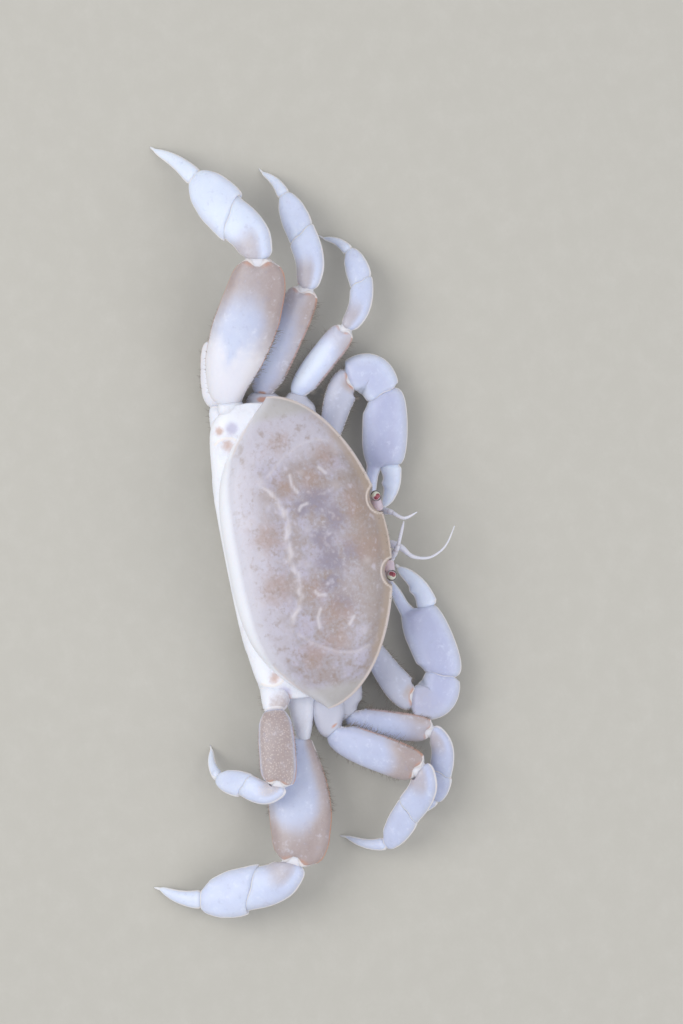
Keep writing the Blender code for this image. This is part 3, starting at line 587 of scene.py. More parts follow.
# Back shell: thin hard chitin over brown-grey pigment, wet, so it is softly glossy and mottled
BACK = finish(
    "pigmented_chitin", "ADA6AE",
    (("BDB8CA", "", -0.06, 0.14, 0.85, (1.0,)),
     ("A5958F", "", -0.03, 0.14, 0.65, (-0.9, 0.35)),
     ("A2958F", "warm", 0.1, 0.9, 0.8, (0.7, 0.35)),
     # the light layer: paler and greyer towards the rear and the left end, partly the shell's own
     # greyer rear and partly painted light on the side that faces the key lamp
     ("C7C3CF", "light", 0.1, 0.9, 0.85, (0.5, 0.25, 0, 0.3)),
     ("8F8796", "heart", 0.1, 1.0, 0.85, (0.8, 0.5, 0, 1.2)),
     ("A58977", "tan", 0.0, 1.2, 0.65, (1.4, 0.9, 0, 1.6)),
     ("9B887D", "", 0.02, 0.34, 0.65, (0, 0.4, 0, -1.1)),
     ("CECAD8", "", 0.06, 0.34, 0.65, (0, 0.3, 0, 1.1)),
     ("938580", "", 0.02, 0.38, 0.5, (0.3, 0.95)),
     ("D4D0DA", "", 0.06, 0.36, 0.42, (-0.3, -0.95)),
     # the front layer: the margin's own tan, made lighter as painted light against the shade of the
     # steep front slope
     ("B9A594", "front", 0.1, 0.9, 0.7, (0.5, 0.5)),
     ("BAB7B4", "clear", 0.1, 0.9, 0.8, (0.3, 0.1)),
     ("D7D1D6", "pale", 0.1, 0.9, 0.72, (0.3, 0.3)),
     ("F4F6FF", "white", 0.0, 1.0, 1.0, (0, 0.1)),
     ("E3DADA", "rear_rim", 0.2, 1.0, 0.75, (0.5, 0.4)),
     ("E6D9D2", "rim", 0.15, 0.9, 0.9, (0.3, 0.4))),
    pits=0.35, Roughness=0.42, IOR=1.55, Coat_Weight=0.25, Coat_Roughness=0.25, **flesh(0.2, 0.3))

# Limb shell: thin clear chitin over white muscle, which makes it milky, bluish and glossy
LIMB_LOOK = dict(
    layers=(
        ("E1EAFF", "bright", 0.0, 1.0, 1.0, (0.35, 0.12)),
        ("C6C8D3", "clear", 0.0, 1.0, 0.75, (0.2, 0.1)),
        ("B9AEAE", "brown", 0.1, 0.9, 0.95, (0.3, 0.2)),
        ("A08B84", "brown", 0.55, 1.3, 0.75, (0.2, 0.5)),
        ("AAAEC8", "", 0.04, 0.4, 0.35, (0, 0.9, 0, -0.8)),
        ("E8EDFE", "", 0.04, 0.4, 0.4, (0, 0.9, 0, 0.8)),
        ("DCD2CC", "speck", 0.95, 1.35, 0.6, (0, 0.3, -1.2)),
        ("EFEDF1", "white", 0.0, 1.0, 0.75, (0.4, 0.2, 0, 0.4)),
        ("C9967C", "orange", 0.15, 0.9, 0.85, (0.3, 0.3)),
        # the edge layer: pale along each limb piece's thin margins and at its ends; the margins are
        # partly the thin cuticle's pale rim and partly a painted glow of light through it, and the
        # ends are painted light over the shade in the joint creases
        ("F4EFEE", "edge", 0.2, 0.8, 0.75, (0, 0.2))),
    pits=0.12, Roughness=0.4, IOR=1.45, Coat_Weight=0.15, Coat_Roughness=0.2, Sheen_Weight=0.12,
    Sheen_Roughness=0.4, **flesh(0.5, 0.5))
LIMB = finish("clear_chitin_over_muscle", "BAC0DA", **LIMB_LOOK)
CLAW = finish("clear_chitin_of_the_claws", "B5B9D6", **LIMB_LOOK)

# Leg roots: whiter and chalkier than the limbs
ROOT = finish(
    "white_chitin_of_the_leg_roots", "EBEDF6",
    (("D6D2D4", "", -0.05, 0.3, 0.6, (0.9, 0.3)),
     ("C3C4D1", "clear", 0.0, 1.0, 0.9, (0.3, 0.15)),
     ("B5A39D", "brown", 0.1, 0.9, 0.9, (0.3, 0.4)),
     ("CB9173", "orange", 0.2, 0.9, 0.8, (0.3, 0.6, 0, 0.6)),
     # the edge layer here lightens the end of the last leg's root: painted light over the shade in
     # the crease of its joint
     ("F5F3F6", "edge", 0.2, 0.8, 0.6, (0, 0.2))),
    pits=0.15, Roughness=0.42, IOR=1.48, Sheen_Weight=0.1, Sheen_Roughness=0.4, **flesh(0.4, 0.4))

# Underside: chalky white chitin, a little rougher
BELLY = finish(
    "white_chitin", "F3F5FE",
    (("DCDBE2", "", -0.02, 0.28, 0.45, (0.8, 0.3)),
     ("C9C6DD", "lilac", 0.1, 0.9, 0.8, (0.4, 0.3)),
     ("CFAF9F", "orange", 0.1, 1.0, 0.8, (0.3, 0.5, 0, 0.8)),
     ("F6EFEA", "edge", 0.2, 0.8, 0.8, (0, 0.2)),
     ("BDB5B6", "seam", 0.2, 0.8, 0.7, (0, 0.2))),
    pits=0.15, Roughness=0.45, IOR=1.5, **flesh(0.3, 0.4))

# Soft skin of the joints: white, folded and dull
JOINT = finish("soft_joint_skin", "E4E2E8", (("D3C9C8", "", 0.0, 0.3, 0.5, (0, 0.8)),),
               pits=0.25, Roughness=0.5, IOR=1.45, **flesh(0.4, 0.3))

# Eye: dark red pigment in a pale ball, under a clear wet cornea that glints
EYEBALL = finish(
    "eye_pigments", "C3B9C2",
    (("CFD2C2", "green", 0.2, 0.8, 0.9, (0.2, 0.4)),
     ("943044", "red", 0.25, 0.8, 0.95, (0, 1.3)),
     ("4A1A22", "red", 0.75, 1.2, 0.85, (0, 1.3)),
     ("231E1D", "ring", 0.2, 0.7, 0.95, (0, 0.4))),
    Roughness=0.35, IOR=1.38, Coat_Weight=1.0, Coat_Roughness=0.03, Coat_IOR=1.38)

# Stalk of the eye: soft clear skin over lilac flesh, so light passes into it
STALK = finish("clear_skin_of_the_eye_stalk", "CDBECB",
               (("DFD3D9", "", -0.1, 0.3, 0.7, (0.6, 0.6)),),
               Roughness=0.35, IOR=1.42, **flesh(0.5, 0.2))

# Feelers: thin clear chitin, glossy and ringed by their joints
FEELER = finish(
    "thin_clear_chitin", "C3C3D1",
    (("E6E6F0", "bright", 0.0, 1.0, 0.9, (0, 0.2)),
     ("9C9499", "seam", 0.2, 0.9, 0.45, (0, 0.2))),
    pits=0.1, Roughness=0.35, IOR=1.5, **flesh(0.4, 0.2))

# Floor: matt painted board, which shows no glints and is a little uneven in tone
BOARD = finish("matt_board", "BFBCB3", (("C8C5BD", "", -0.1, 0.3, 0.6, (0.6, 0.2)),),
               pits=0.1, Roughness=0.8, IOR=1.45)

# Bristles: pale straw chitin, smooth enough to catch the light
BRISTLE = finish("bristle_chitin", "958C82", (("BCB4AA", "", 0.0, 0.3, 0.8, (0.9,)),),
                 Roughness=0.4, IOR=1.54)


# Bristles

def bristles(name, rings, where, fringes):
    """Thin curved bristles along the edges of a piece, rooted a little inside its skin."""
    middle = rings.mean(1)
    run = unit(np.gradient(middle, axis=0))
    roots, ways, places, lengths = [], [], [], []
    for start, end, edge, count, length in fringes:
        row = np.searchsorted(where["t"][:, 0], grow.uniform(start, end, count))
        columns = np.flatnonzero(where["c"][0] * edge > BRISTLE_EDGE)
        column = columns[grow.integers(0, len(columns), count)]
        root = rings[row, column]
        out = unit(root - middle[row])
        stray = grow.normal(size=(count, 3)) * BRISTLE_STRAY
        ways.append(unit(out + run[row] * grow.uniform(*BRISTLE_LEAN, (count, 1)) + stray))
        roots.append(root - out * BRISTLE_DEPTH)
        lengths.append(length * grow.uniform(*BRISTLE_LENGTHS, count))
        places.append(np.stack((row / len(rings), column / rings.shape[1]), -1))
    roots, ways, lengths, places = (np.concatenate(part) for part in (roots, ways, lengths, places))
    share = np.linspace(0, 1, BRISTLE_STEPS)[None, :, None]
    bend = grow.normal(size=ways.shape)[:, None] * BRISTLE_BEND
    line = (roots[:, None] + lengths[:, None, None] * (ways[:, None] * share + bend * share ** 2))
    line[..., 2] = np.maximum(line[..., 2], BRISTLE_RADIUS)
    side = unit(np.cross(ways, (0.3, 0.2, 1.0)))[:, None]
    over = np.cross(ways[:, None], side)
    radii = BRISTLE_RADIUS * (1 - BRISTLE_TAPER * share)
    turns = [2 * math.pi * k / 3 for k in range(3)]
    points = np.stack([line + radii * (side * math.cos(a) + over * math.sin(a)) for a in turns], 2)
    first = (np.arange(len(roots)) * BRISTLE_STEPS * 3)[:, None]
    last = first + (BRISTLE_STEPS - 1) * 3
    quads = quads_between((first + np.arange(BRISTLE_STEPS - 1) * 3)[..., None], 3)
    faces = [*quads.tolist(), *(first + (2, 1, 0)).tolist(), *(last + (0, 1, 2)).tolist()]
    piece = make_piece(name, points.reshape(-1, 3), faces, BRISTLE)
    spread = np.stack(np.broadcast_arrays(
        places[:, None, None, 0] + UV_PATCH * share,
        places[:, None, None, 1] + UV_PATCH * np.array(turns)[None, None] / 7), -1).reshape(-1, 2)
    corners = np.empty(len(piece.data.loops), np.int32)
    piece.data.loops.foreach_get("vertex_index", corners)
    layer = piece.data.uv_layers.new(name="OFBake")
    layer.data.foreach_set("uv", np.ascontiguousarray(spread[corners], np.float32).ravel())


# Shell of the back

def taper(place, powers):
    return (1 - np.minimum(place, 1.0) ** powers[0]) ** powers[1]


def back_shell():
    t = (np.arange(1, SHELL_STATIONS) / SHELL_STATIONS)[:, None]
    x = SHELL_HALF_WIDTH * np.sin(math.pi * (t - 0.5))
    share = np.abs(x) / SHELL_HALF_WIDTH
    c, s = circle(SHELL_SIDES)
    front, upper = c < 0, s > 0
    power = np.array(SHELL_ROUNDING)[upper.astype(int), front.astype(int)]
    front_reach = SHELL_FRONT_REACH * taper(share, SHELL_FRONT_TAPER)
    along = np.where(front, front_reach, SHELL_REAR_REACH * taper(share, SHELL_REAR_TAPER))
    height = np.where(upper, SHELL_CREST_RISE * taper(share, SHELL_RISE_TAPER),
                      SHELL_DEPTH_BELOW * taper(share, SHELL_FALL_TAPER))
    y = SHELL_MIDDLE_Y + along * signed_power(c, power)
    z = SHELL_MARGIN_Z + height * signed_power(s, power)
    points = np.stack(np.broadcast_arrays(x, y, z), -1)
    out = np.abs(points[..., 0])

    wander = 0.05 * np.sin(5.3 * x + 0.8) + 0.03 * np.sin(13.1 * x + 2.0)
    behind = y + wander - np.interp(out, *np.array(RIDGE_LINE).T)
    fade = 1 - ramp(out, RIDGE_END, 0.6)
    rear_slope, front_slope, pale_line = (hump(behind, width) for width in RIDGE_WIDTHS)
    crest = np.where(behind > 0, rear_slope, front_slope) * fade * upper
    line = pale_line * fade * (0.75 + 0.25 * np.sin(7.0 * x + 1.0)) * upper
    groove = stripe(points, GROOVE_LINE, GROOVE_WIDTH) * upper
    scars = np.max([stripe(points, scar, SCAR_WIDTH) for scar in SCAR_LINES], axis=0) * upper
    at_end = ramp(out, 4.3, 0.6)
    rim = stripe(points, REAR_RIM, RIM_WIDTH) * upper * at_end
    past_rim = y - np.interp(out, *np.array(REAR_RIM).T)
    outside = smooth(0.5 + past_rim / (0.14 + 0.55 * (1 - at_end)))
    front_y = SHELL_MIDDLE_Y - front_reach
    inset = (y - front_y) / np.sqrt(1 + np.gradient(front_y[:, 0], x[:, 0])[:, None] ** 2)
    above = front * smooth((z - SHELL_MARGIN_Z + 0.3) / 0.3)
    heavy = ramp(out, 1.6, 1.2)
    bead = hump(inset - 0.04, BEAD_WIDTH + BEAD_GROWTH * heavy) * above
    marks = {"crest": crest, "groove": groove, "scars": scars, "rim": rim, "bead": bead * upper,
             "outside": outside * upper}
    points[..., 2] += sum(BACK_RELIEF[mark] * marks[mark] for mark in marks)
    points[..., 1] -= 0.02 * bead

    orbit_rim = np.zeros_like(y)
    for side in (1, -1):
        offset = (points - np.array(ORBIT_CENTRE) * (side, 1, 1)) / ORBIT_RADII
        gap = np.hypot(offset[..., 0], offset[..., 1]) - 1
        orbit_rim = np.maximum(orbit_rim, hump(gap - 0.05, 0.1) * upper)
        within = (offset ** 2).sum(-1) < 1
        wall = np.sqrt(np.maximum(1 - offset[..., 0] ** 2 - offset[..., 2] ** 2, 0))
        points[..., 1] = np.where(within, ORBIT_CENTRE[1] + ORBIT_RADII[1] * wall, points[..., 1])

    pale = np.maximum.reduce((0.75 * line + 0.15 * crest, 0.48 * groove, 0.85 * scars,
                              0.4 * dots(out, y, SPOTS), 0.42 * dots(x, y, PALE_PATCHES)))
    # Painted light, in part: paler towards the rear and the left end, the side that faces the key
    # lamp, over the shell's own greyer rear
    light = np.maximum(ramp(y, 0.3, 2.2) * (1 - 0.6 * ramp(-x, 4.2, 0.9)),
                       0.8 * ramp(x, 3.2, 1.5))
    white = np.where(upper, np.maximum(outside, 0.4 * ramp(past_rim, -0.9, 0.9)),
                     ramp(y, -2.2, 1.0))
    masks = {
        "warm": ramp(-y, 1.4, 1.6) * (1 - 0.7 * ramp(x, 2.6, 1.2)) * upper,
        "tan": dots(x, y, TAN_PATCHES) * upper,
        "heart": dots(x, y, HEART_PATCHES) * upper,
        "pale": pale * upper,
        # a lighter band along the front margin, partly its own tan and partly painted light against
        # the shade of the steep slope
        "front": smooth(1.1 - inset / 0.6) * above * (1 - 0.5 * ramp(out, 4.5, 1.0)),
        "light": light * upper,
        "clear": ramp(out, 5.55, 0.9) * upper,
        "white": white,
        "rear_rim": 0.9 * rim * (1 - ramp(out, 6.0, 0.5)),
        "rim": np.maximum(bead * (0.7 + 0.3 * heavy), 0.9 * orbit_rim)}
    ring_piece("back_shell", points, BACK, ("carapace",), masks)
    bristles("back_shell_bristles", points, {"t": t, "c": c}, SHELL_FRINGE)


# Belly

def body_wall():
    """The breast plate, with its sides carried up and out to the white flanks under the shell."""
    stations, sides = THORAX_GRID
    span = np.linspace(-THORAX_HALF_WIDTH, THORAX_HALF_WIDTH, stations)[:, None]
    c, s = circle(sides)
    out = np.abs(span)
    bed = smooth((GROOVE_HALF_WIDTH + 0.15 - out) / 0.3)
    bottom = THORAX_BOTTOM_Z + (GROOVE_Z - THORAX_BOTTOM_Z) * bed + 0.35 * ramp(out, 3.9, 0.5)
    z = (BODY_TOP_Z + bottom) / 2 + (BODY_TOP_Z - bottom) / 2 * signed_power(s, 0.5)
    swell = ramp(z, 0.9, 1.1)
    x = span * (1 + np.where(span > 0, FLANK_SPREADS["left"], FLANK_SPREADS["right"]) * swell)
    front_top = SHELL_MIDDLE_Y - 0.85 * SHELL_FRONT_REACH * taper(
        np.abs(x) / SHELL_HALF_WIDTH, SHELL_FRONT_TAPER)
    rear_top = np.interp(np.abs(x), *np.array(FLANK_LINE).T)
    front = THORAX_FRONT_Y + (front_top - THORAX_FRONT_Y) * swell
    rear = THORAX_REAR_Y + (rear_top - THORAX_REAR_Y) * swell
    round_off = np.sqrt(1 - (out / (THORAX_HALF_WIDTH + 0.01)) ** 18)
    y = (front + rear) / 2 + (rear - front) / 2 * signed_power(c, 0.45) * round_off
    drop = np.where(span > 0, FLANK_DROPS["left"], FLANK_DROPS["right"])
    z = z - drop * ramp(np.abs(x), 5.3, 1.6) * swell
    seams = np.max([hump(y - seam - 0.12 * (out - 1.9), 0.07) for seam in BREAST_SEAMS], axis=0)
    seams = seams * (out > GROOVE_HALF_WIDTH) * (s < 0)
    points = np.stack((x, y, z + 0.07 * seams), -1)
    upper = s > 0
    arc = stripe(points, HIP_LINE, 0.07) * upper
    spots = dots(x, y, HIP_SPOTS) * upper
    hollow = dots(np.abs(x), y, [HIP_HOLLOW]) * upper
    points[..., 2] -= 0.06 * spots + 0.05 * hollow - 0.03 * arc
    ring_piece("body_wall", points, BELLY, ("thorax",),
               {"seam": seams, "edge": arc, "orange": 0.85 * spots, "lilac": hollow})


def tail_flap():
    """The folded abdomen: down the rear wall, round the bend and forward under the belly."""
    half = ABDOMEN_THICK / 2
    bend_y, bend_z = ABDOMEN_WALL_Y - ABDOMEN_BEND, half + ABDOMEN_BEND
    wall, turn = ABDOMEN_TOP_Z - bend_z, ABDOMEN_BEND * math.pi / 2
    total = wall + turn + bend_y - ABDOMEN_TIP_Y
    along = np.linspace(0, total, ABDOMEN_GRID[0])
    bent = np.clip((along - wall) / turn, 0, 1) * math.pi / 2
    down, on = np.minimum(along, wall), np.maximum(along - wall - turn, 0)
    y = bend_y + ABDOMEN_BEND * np.cos(bent) - on
    z = bend_z + wall - down - ABDOMEN_BEND * np.sin(bent)
    c, s = circle(ABDOMEN_GRID[1])
    seams = np.max([hump(along - total * k / ABDOMEN_RINGS - 0.1, 0.06)
                    for k in range(1, ABDOMEN_RINGS)], axis=0)[:, None]
    thick = half * signed_power(s, 0.6) * (1 - 0.16 * seams)
    facing = np.stack((0 * bent, np.cos(bent), -np.sin(bent)), -1)
    middle = np.stack((0 * along, y, z), -1)
    points = middle[:, None] + facing[:, None] * thick[..., None]
    points[..., 0] += read_table(ABDOMEN_HALF_WIDTHS, along / total) * signed_power(c, 0.75)
    ring_piece("tail_flap", points, BELLY, ("abdomen",), {"seam": seams})


# Eyes, feelers and mouth limbs

def curve_through(places, steps):
    """A smooth line through a few given points."""
    places = np.array(places, float)
    at = np.linspace(0, len(places) - 1, steps)
    low = np.minimum(at.astype(int), len(places) - 2)
    t = (at - low)[:, None]
    a, b, c, d = (places[np.clip(low + j, 0, len(places) - 1)] for j in (-1, 0, 1, 2))
    return 0.5 * (2 * b + (c - a) * t + (2 * a - 5 * b + 4 * c - d) * t**2
                  + (3 * b - a - 3 * c + d) * t**3)


def rod_rings(line, radii, sides):
    run = unit(np.gradient(line, axis=0))
    side = unit(np.cross(run, (0.02, 0.01, 1.0)))
    over = np.cross(side, run)
    angle = around(sides)[None, :, None]
    return line[:, None] + (side[:, None] * np.cos(angle)
                            + over[:, None] * np.sin(angle)) * radii[:, None, None]


def feeler(side):
    """The antenna: thick joints at its root, then a thin ringed lash."""
    steps, sides = ANTENNA_GRID
    line = curve_through(ANTENNA_ROUTES[side], steps)
    share = np.linspace(0, 1, steps)
    lash_joints = hump(np.modf(share * 20)[0] - 0.5, 0.16) * ramp(share, 0.35, 0.1)
    root_joints = np.max([hump(share - place, 0.02) for place in ANTENNA_JOINTS], axis=0)
    radii = read_table(ANTENNA_RADII, share)[:, 0] * (1 - 0.08 * lash_joints - 0.12 * root_joints)
    seams = np.maximum(lash_joints * 0.4, 0.7 * root_joints)[:, None]
    ring_piece(f"feeler_{side}", rod_rings(line, radii, sides), FEELER,
               (f"antenna_{side}",), {"seam": seams, "bright": 0.6})


def mouth_limb(side):
    """The outer mouth plate, with the long palp that the right one holds out."""
    low, high = MOUTH_PLATE_Z
    share = np.linspace(0, 1, MOUTH_PLATE_GRID[0])
    wide, thick = read_table(MOUTH_PLATE_OUTLINE, share).T[..., None]
    c, s = circle(MOUTH_PLATE_GRID[1])
    x = MOUTH_PLATE_X + wide * MOUTH_PLATE_WIDTH / 2 * signed_power(c, 0.7)
    y = MOUTH_PLATE_Y + thick * MOUTH_PLATE_THICK / 2 * signed_power(s, 0.7)
    z = low + (high - low) * share[:, None] + 0 * x
    parts, bright = [placed(np.stack((x, y, z), -1), side)], 0.4
    if side == "right":
        steps, sides = PALP_GRID
        radii = curve_through(PALP_RADII, steps)[:, 0]
        joints = hump(np.modf(np.linspace(0, 9, steps))[0] - 0.5, 0.08)
        line = curve_through(PALP_ROUTE, steps)
        parts.append(rod_rings(line, radii * (1 - 0.12 * joints), sides))
        bright = (0.4, 0.7)
    ring_piece(f"mouth_limb_{side}", parts, FEELER, (f"maxilliped_{side}",),
               {"bright": bright})


def eye(side):
    """A short thick stalk with a pale ball on its end, ringed with black round its red pigment."""
    root, centre = placed(EYE_STALK_ROOT, side), placed(EYE_CENTRE, side)
    run = unit(centre - root)
    length = np.linalg.norm(centre - root)
    steps, sides = EYE_STALK_GRID
    share = np.linspace(0, 1, steps)
    line = root + run * (share * (length - EYE_RADIUS * 0.1))[:, None]
    radii = EYE_STALK_RADII[0] + (EYE_STALK_RADII[1] - EYE_STALK_RADII[0]) * smooth(share)
    ring_piece(f"eye_stalk_{side}", rod_rings(line, radii, sides), STALK, (f"eye_{side}",))
    look, spot, edge = (unit(placed(way, side)) for way in (EYE_LOOK, EYE_SPOT, EYE_RING_SIDE))
    turn = around(EYE_SIDES) / 2
    ball = centre - look * (EYE_RADIUS * np.cos(turn))[:, None]
    rings = rod_rings(ball, EYE_RADIUS * np.sin(turn), EYE_SIDES)
    facing = unit(rings - centre)
    outer = facing @ placed(OUTWARD, side)
    ring = hump(np.degrees(np.arccos(np.clip(facing @ look, -1, 1))) - EYE_RING[0], EYE_RING[1])
    ring = ring * (0.5 + 0.6 * ramp(facing @ edge, -0.5, 0.5))
    near = np.maximum(facing @ spot, facing @ unit(spot + placed(EYE_SPOT_TAIL, side)))
    ring_piece(f"eyeball_{side}", rings, EYEBALL, (),
               {"ring": ring, "red": ramp(near, 0.84, 0.12),
                "green": ramp(outer, -0.25, 0.4)})


# Colours of the limbs, for legs 1 to 4; a merus has tints for its light patch, its brown all over
# and along both edges, and its brown towards its end and its root
MERUS_TINTS = {
    "left": ((1.1, 0.0, 0.2, 0.45, 0.0), (0.65, 0.25, 0.3, 0.4, 0.1), (0.58, 0.15, 0.6, 0.7, 0.0),
             (0.95, 0.0, 0.1, 0.2, 0.0)),
    "right": ((0.45, 0.1, 0.2, 0.5, 0.1), (0.35, 0.0, 0.25, 1.0, 0.0), (0.55, 0.0, 0.9, 1.0, 0.15),
              (0.15, 0.95, 0.3, 0.4, 0.4)),
}
OUTER_BRIGHT = {"left": (0.5, 0.6, 0.85, 0.7), "right": (0.3, 0.4, 0.6, 0.65)}
ROOT_CLEAR = {"left": (0.9, 0.7, 0.1, 0.0), "right": (1.0, 0.9, 0.45, 0.0)}
SPECKS = {"left": (0.0, 0.0, 0.0, 0.0), "right": (0.0, 0.0, 0.6, 0.9)}
CLAW_BRIGHT = {"base": 0.15, "carpus": 0.2, "palm": 0.2, "finger": 0.75}
WRIST_BRIGHT = {"left": 0.2, "right": 0.0}
WRIST_BROWN = {"left": 0.175, "right": 0.35}


# Pale thin margins and pale piece ends: the margins partly the cuticle's pale rim and partly a
# painted glow of light through it, the ends painted light over the shade in the joint creases
def pale_rim_and_painted_joint_light(where):
    rim = hump(where["margin"], 0.055) * (where["depth"] < 0.14)
    return np.maximum(rim, ramp(where["t"], 0.965, 0.035))


def leg_masks(where, side, number, part):
    t, c, s = where["t"], where["c"], where["s"]
    width, leg = np.abs(c), (side, number)
    bright = OUTER_BRIGHT[side][number - 1]
    brown, orange, white, edge = 0.0, 0.0, 0.0, pale_rim_and_painted_joint_light(where)
    clear = 0.5 * ramp(width, 0.6, 0.3) + 0.35 * (number == 3 and part == "merus")
    if part == "merus":
        lit, all_over, edges, distal, root = MERUS_TINTS[side][number - 1]
        patch = hump(c + 0.22, 0.55) * hump(t - 0.4, 0.3)
        bright = lit * (0.45 + 0.65 * patch) + 0.3 * ramp(t, 0.12, -0.1)
        brown = (all_over + edges * ramp(c, 0.2, 0.7) + 0.4 * edges * ramp(-c, 0.5, 0.4)
                 + distal * ramp(t, 0.5, 0.33) + root * ramp(t, 0.25, -0.2))
        brown = np.clip(brown * (1 - 0.8 * patch * (1 - all_over)), 0, 1) * (s > -0.6)
        orange = (0.6 * hump(t - 0.965, 0.035) * hump(width - 0.45, 0.35)
                  + (0.45 + 0.6 * edges) * edge * ramp(t, 0.15, 0.2) * (t < 0.97))
        # the painted light is strongest at the merus's root and at its end, where the joint creases
        # fall
        edge = edge * (0.15 + 0.85 * ramp(t, 0.3, -0.2) + 0.85 * (t > 0.95))
        if leg == ("left", 2):
            orange = orange + 1.1 * hump(t - 0.02, 0.04) * hump(c - 0.1, 0.45)
        elif leg == ("left", 3):
            beside = np.abs(c + 0.15) + 0.25 - 1.5 * (t - 0.24)
            white = ramp(t, 0.62, -0.35) * ramp(beside, 0, 0.3)
        elif leg == ("left", 4):
            white = 1.0
        elif leg == ("right", 4):
            brown = brown * (0.25 + 0.75 * ramp(width, 1.0, -0.25) * smooth(t / 0.1))
    elif part == "carpus":
        brown = 0.6 * ramp(t, 0.8, -0.5) * (s > -0.3) * ramp(c, 0.75, -0.6)
        bright = bright * (0.75 + 0.25 * t)
    elif part == "propodus":
        bright = bright * (0.9 + 0.1 * t)
    elif part == "dactyl":
        bright = bright + 0.1
    else:
        clear = ROOT_CLEAR[side][number - 1] + 0.2 * ramp(t, 0.7, 0.3) * (number < 3)
        edge = edge * (t > 0.9) * (number == 4)
        if leg == ("right", 4):
            brown = 0.6 * ramp(t, 0.62, 0.3) * ramp(c, -0.8, 0.9)
        elif leg == ("left", 2):
            orange = 1.1 * hump(t - 0.9, 0.08) * hump(c - 0.1, 0.5)
        elif leg == ("right", 2):
            orange = hump(t - 0.94, 0.03) * hump(c - 0.2, 0.25)
    return {"bright": bright, "brown": brown, "orange": orange, "edge": edge, "white": white,
            "clear": clear, "speck": smooth(brown / 0.4) * SPECKS[side][number - 1]}


def claw_masks(where, side, part):
    t, c, width = where["t"], where["c"], np.abs(where["c"])
    bright, brown = CLAW_BRIGHT[part], 0.0
    if part == "palm":
        bright = bright + 0.3 * ramp(t, 0.55, 0.2)
    if part in ("palm", "carpus"):
        bright = bright + 0.3 * ramp(width, 0.3, 0.6)
    if part == "base":
        brown = 0.75 * ramp(t, 0.7, 0.2) * hump(c + 0.2, 0.7)
    elif part == "carpus":
        bright = bright + WRIST_BRIGHT[side]
        brown = WRIST_BROWN[side] * ramp(t, 0.8, -0.5) * (where["s"] > 0)
    return {"bright": bright, "brown": brown, "edge": pale_rim_and_painted_joint_light(where),
            "clear": 0.8 * (part == "base") + 0.5 * ramp(width, 0.6, 0.3),
            "orange": 0.8 * hump(t - 0.97, 0.05) * hump(width - 0.4, 0.4) * (part == "base")}


# Limbs

def cuff(name, near, far):
    """Soft skin across a joint, from inside one piece to inside the next."""
    ends = [ring.mean(0) + (ring - ring.mean(0)) * CUFF_WIDTH for ring in (near, far)]
    share = np.linspace(0, 1, CUFF_RINGS)[:, None, None]
    rings = ends[0] * (1 - share) + ends[1] * share
    middle = rings.mean(1, keepdims=True)
    pinch = 1 - 0.1 * np.sin(math.pi * share) + 0.03 * np.cos(4 * math.pi * share)
    ring_piece(name, middle + (rings - middle) * pinch, JOINT)


def limb(stem, side, plans, fringes, find_masks):
    """A limb's shell pieces from its root, with their bristles and the soft skin between them."""
    last = None
    for part, skin, shape in plans:
        node = f"{stem}_{part}"
        rings, where = limb_rings(side, **shape)
        ring_piece(f"{node}_shell", rings, skin, (node,), find_masks(where, part))
        if part in fringes:
            bristles(f"{node}_bristles", rings, where, fringes[part])
        if last is not None and part != "finger":
            cuff(f"{node}_cuff", last[CUFF_ROWS[0]], rings[CUFF_ROWS[1]])
        last = rings


def walking_leg(side, number):
    k = number - 1
    hip, *stretches, toe = LEG_POSES[side][k]
    joints = [np.array((THORAX_HALF_WIDTH + GAP / 2, *COXA_PLACES[k])), np.array(hip)]
    for length, sweep, drop in stretches:
        joints.append(joints[-1] + heading(sweep, drop) * length)
    fall = (joints[-1][2] - TOE_HEIGHT) / toe[0]
    joints.append(joints[-1] + heading(toe[1], math.degrees(math.asin(fall))) * toe[0])
    runs = [b - a for a, b in zip(joints, joints[1:])]
    cuts = [between(a, b, share) for a, b, share in zip(runs, runs[1:], BEND_SHARES)]
    cuts = [OUTWARD, *cuts, runs[-1]]
    skews = (0.0, 0.0, 0.0, WRIST_SKEWS[k], 0.0, 0.0)
    broad = number == 3
    shapes = {
        "base": dict(outline=BASE_OUTLINES[side][k], reach=(1.1 if broad else 0.5, 0.12),
                     corner=(0.75, 0.75)),
        "merus": dict(outline=BROAD_MERUS_OUTLINE if broad else MERUS_OUTLINE, roll=MERUS_ROLLS[k],
                      reach=(0.14, 0.08), corner=(0.93, 0.85), rim=0.012, rows=100,
                      lobes=0.14 if broad else 0.07, teeth=0.02 if broad else 0.0),
        "carpus": dict(outline=CARPUS_OUTLINE, roll=8.0, bow=0.15, reach=(0.05, 0.14),
                       lobes=0.03),
        "propodus": dict(outline=PROPODUS_OUTLINE, roll=5.0, reach=(0.14, 0.12)),
        "dactyl": dict(outline=DACTYL_OUTLINE, bow=0.1, reach=(0.12, 0.14),
                       domes=(0.1, 0.3))}
    plans = []
    for j, (part, shape) in enumerate(shapes.items()):
        fill = BASE_FILL[side][k] if part == "base" else (1, 1)
        shape.update(ends=joints[j:j + 2], lines=cuts[j:j + 2], skews=skews[j:j + 2],
                     size=np.array(LEG_SIZES[part][k]) * fill)
        plans.append((part, ROOT if part == "base" else LIMB, shape))
    limb(f"{side}_leg_{number}", side, plans,
         {part: rows[k] for part, rows in LEG_FRINGES.items()},
         lambda where, part: leg_masks(where, side, number, part))


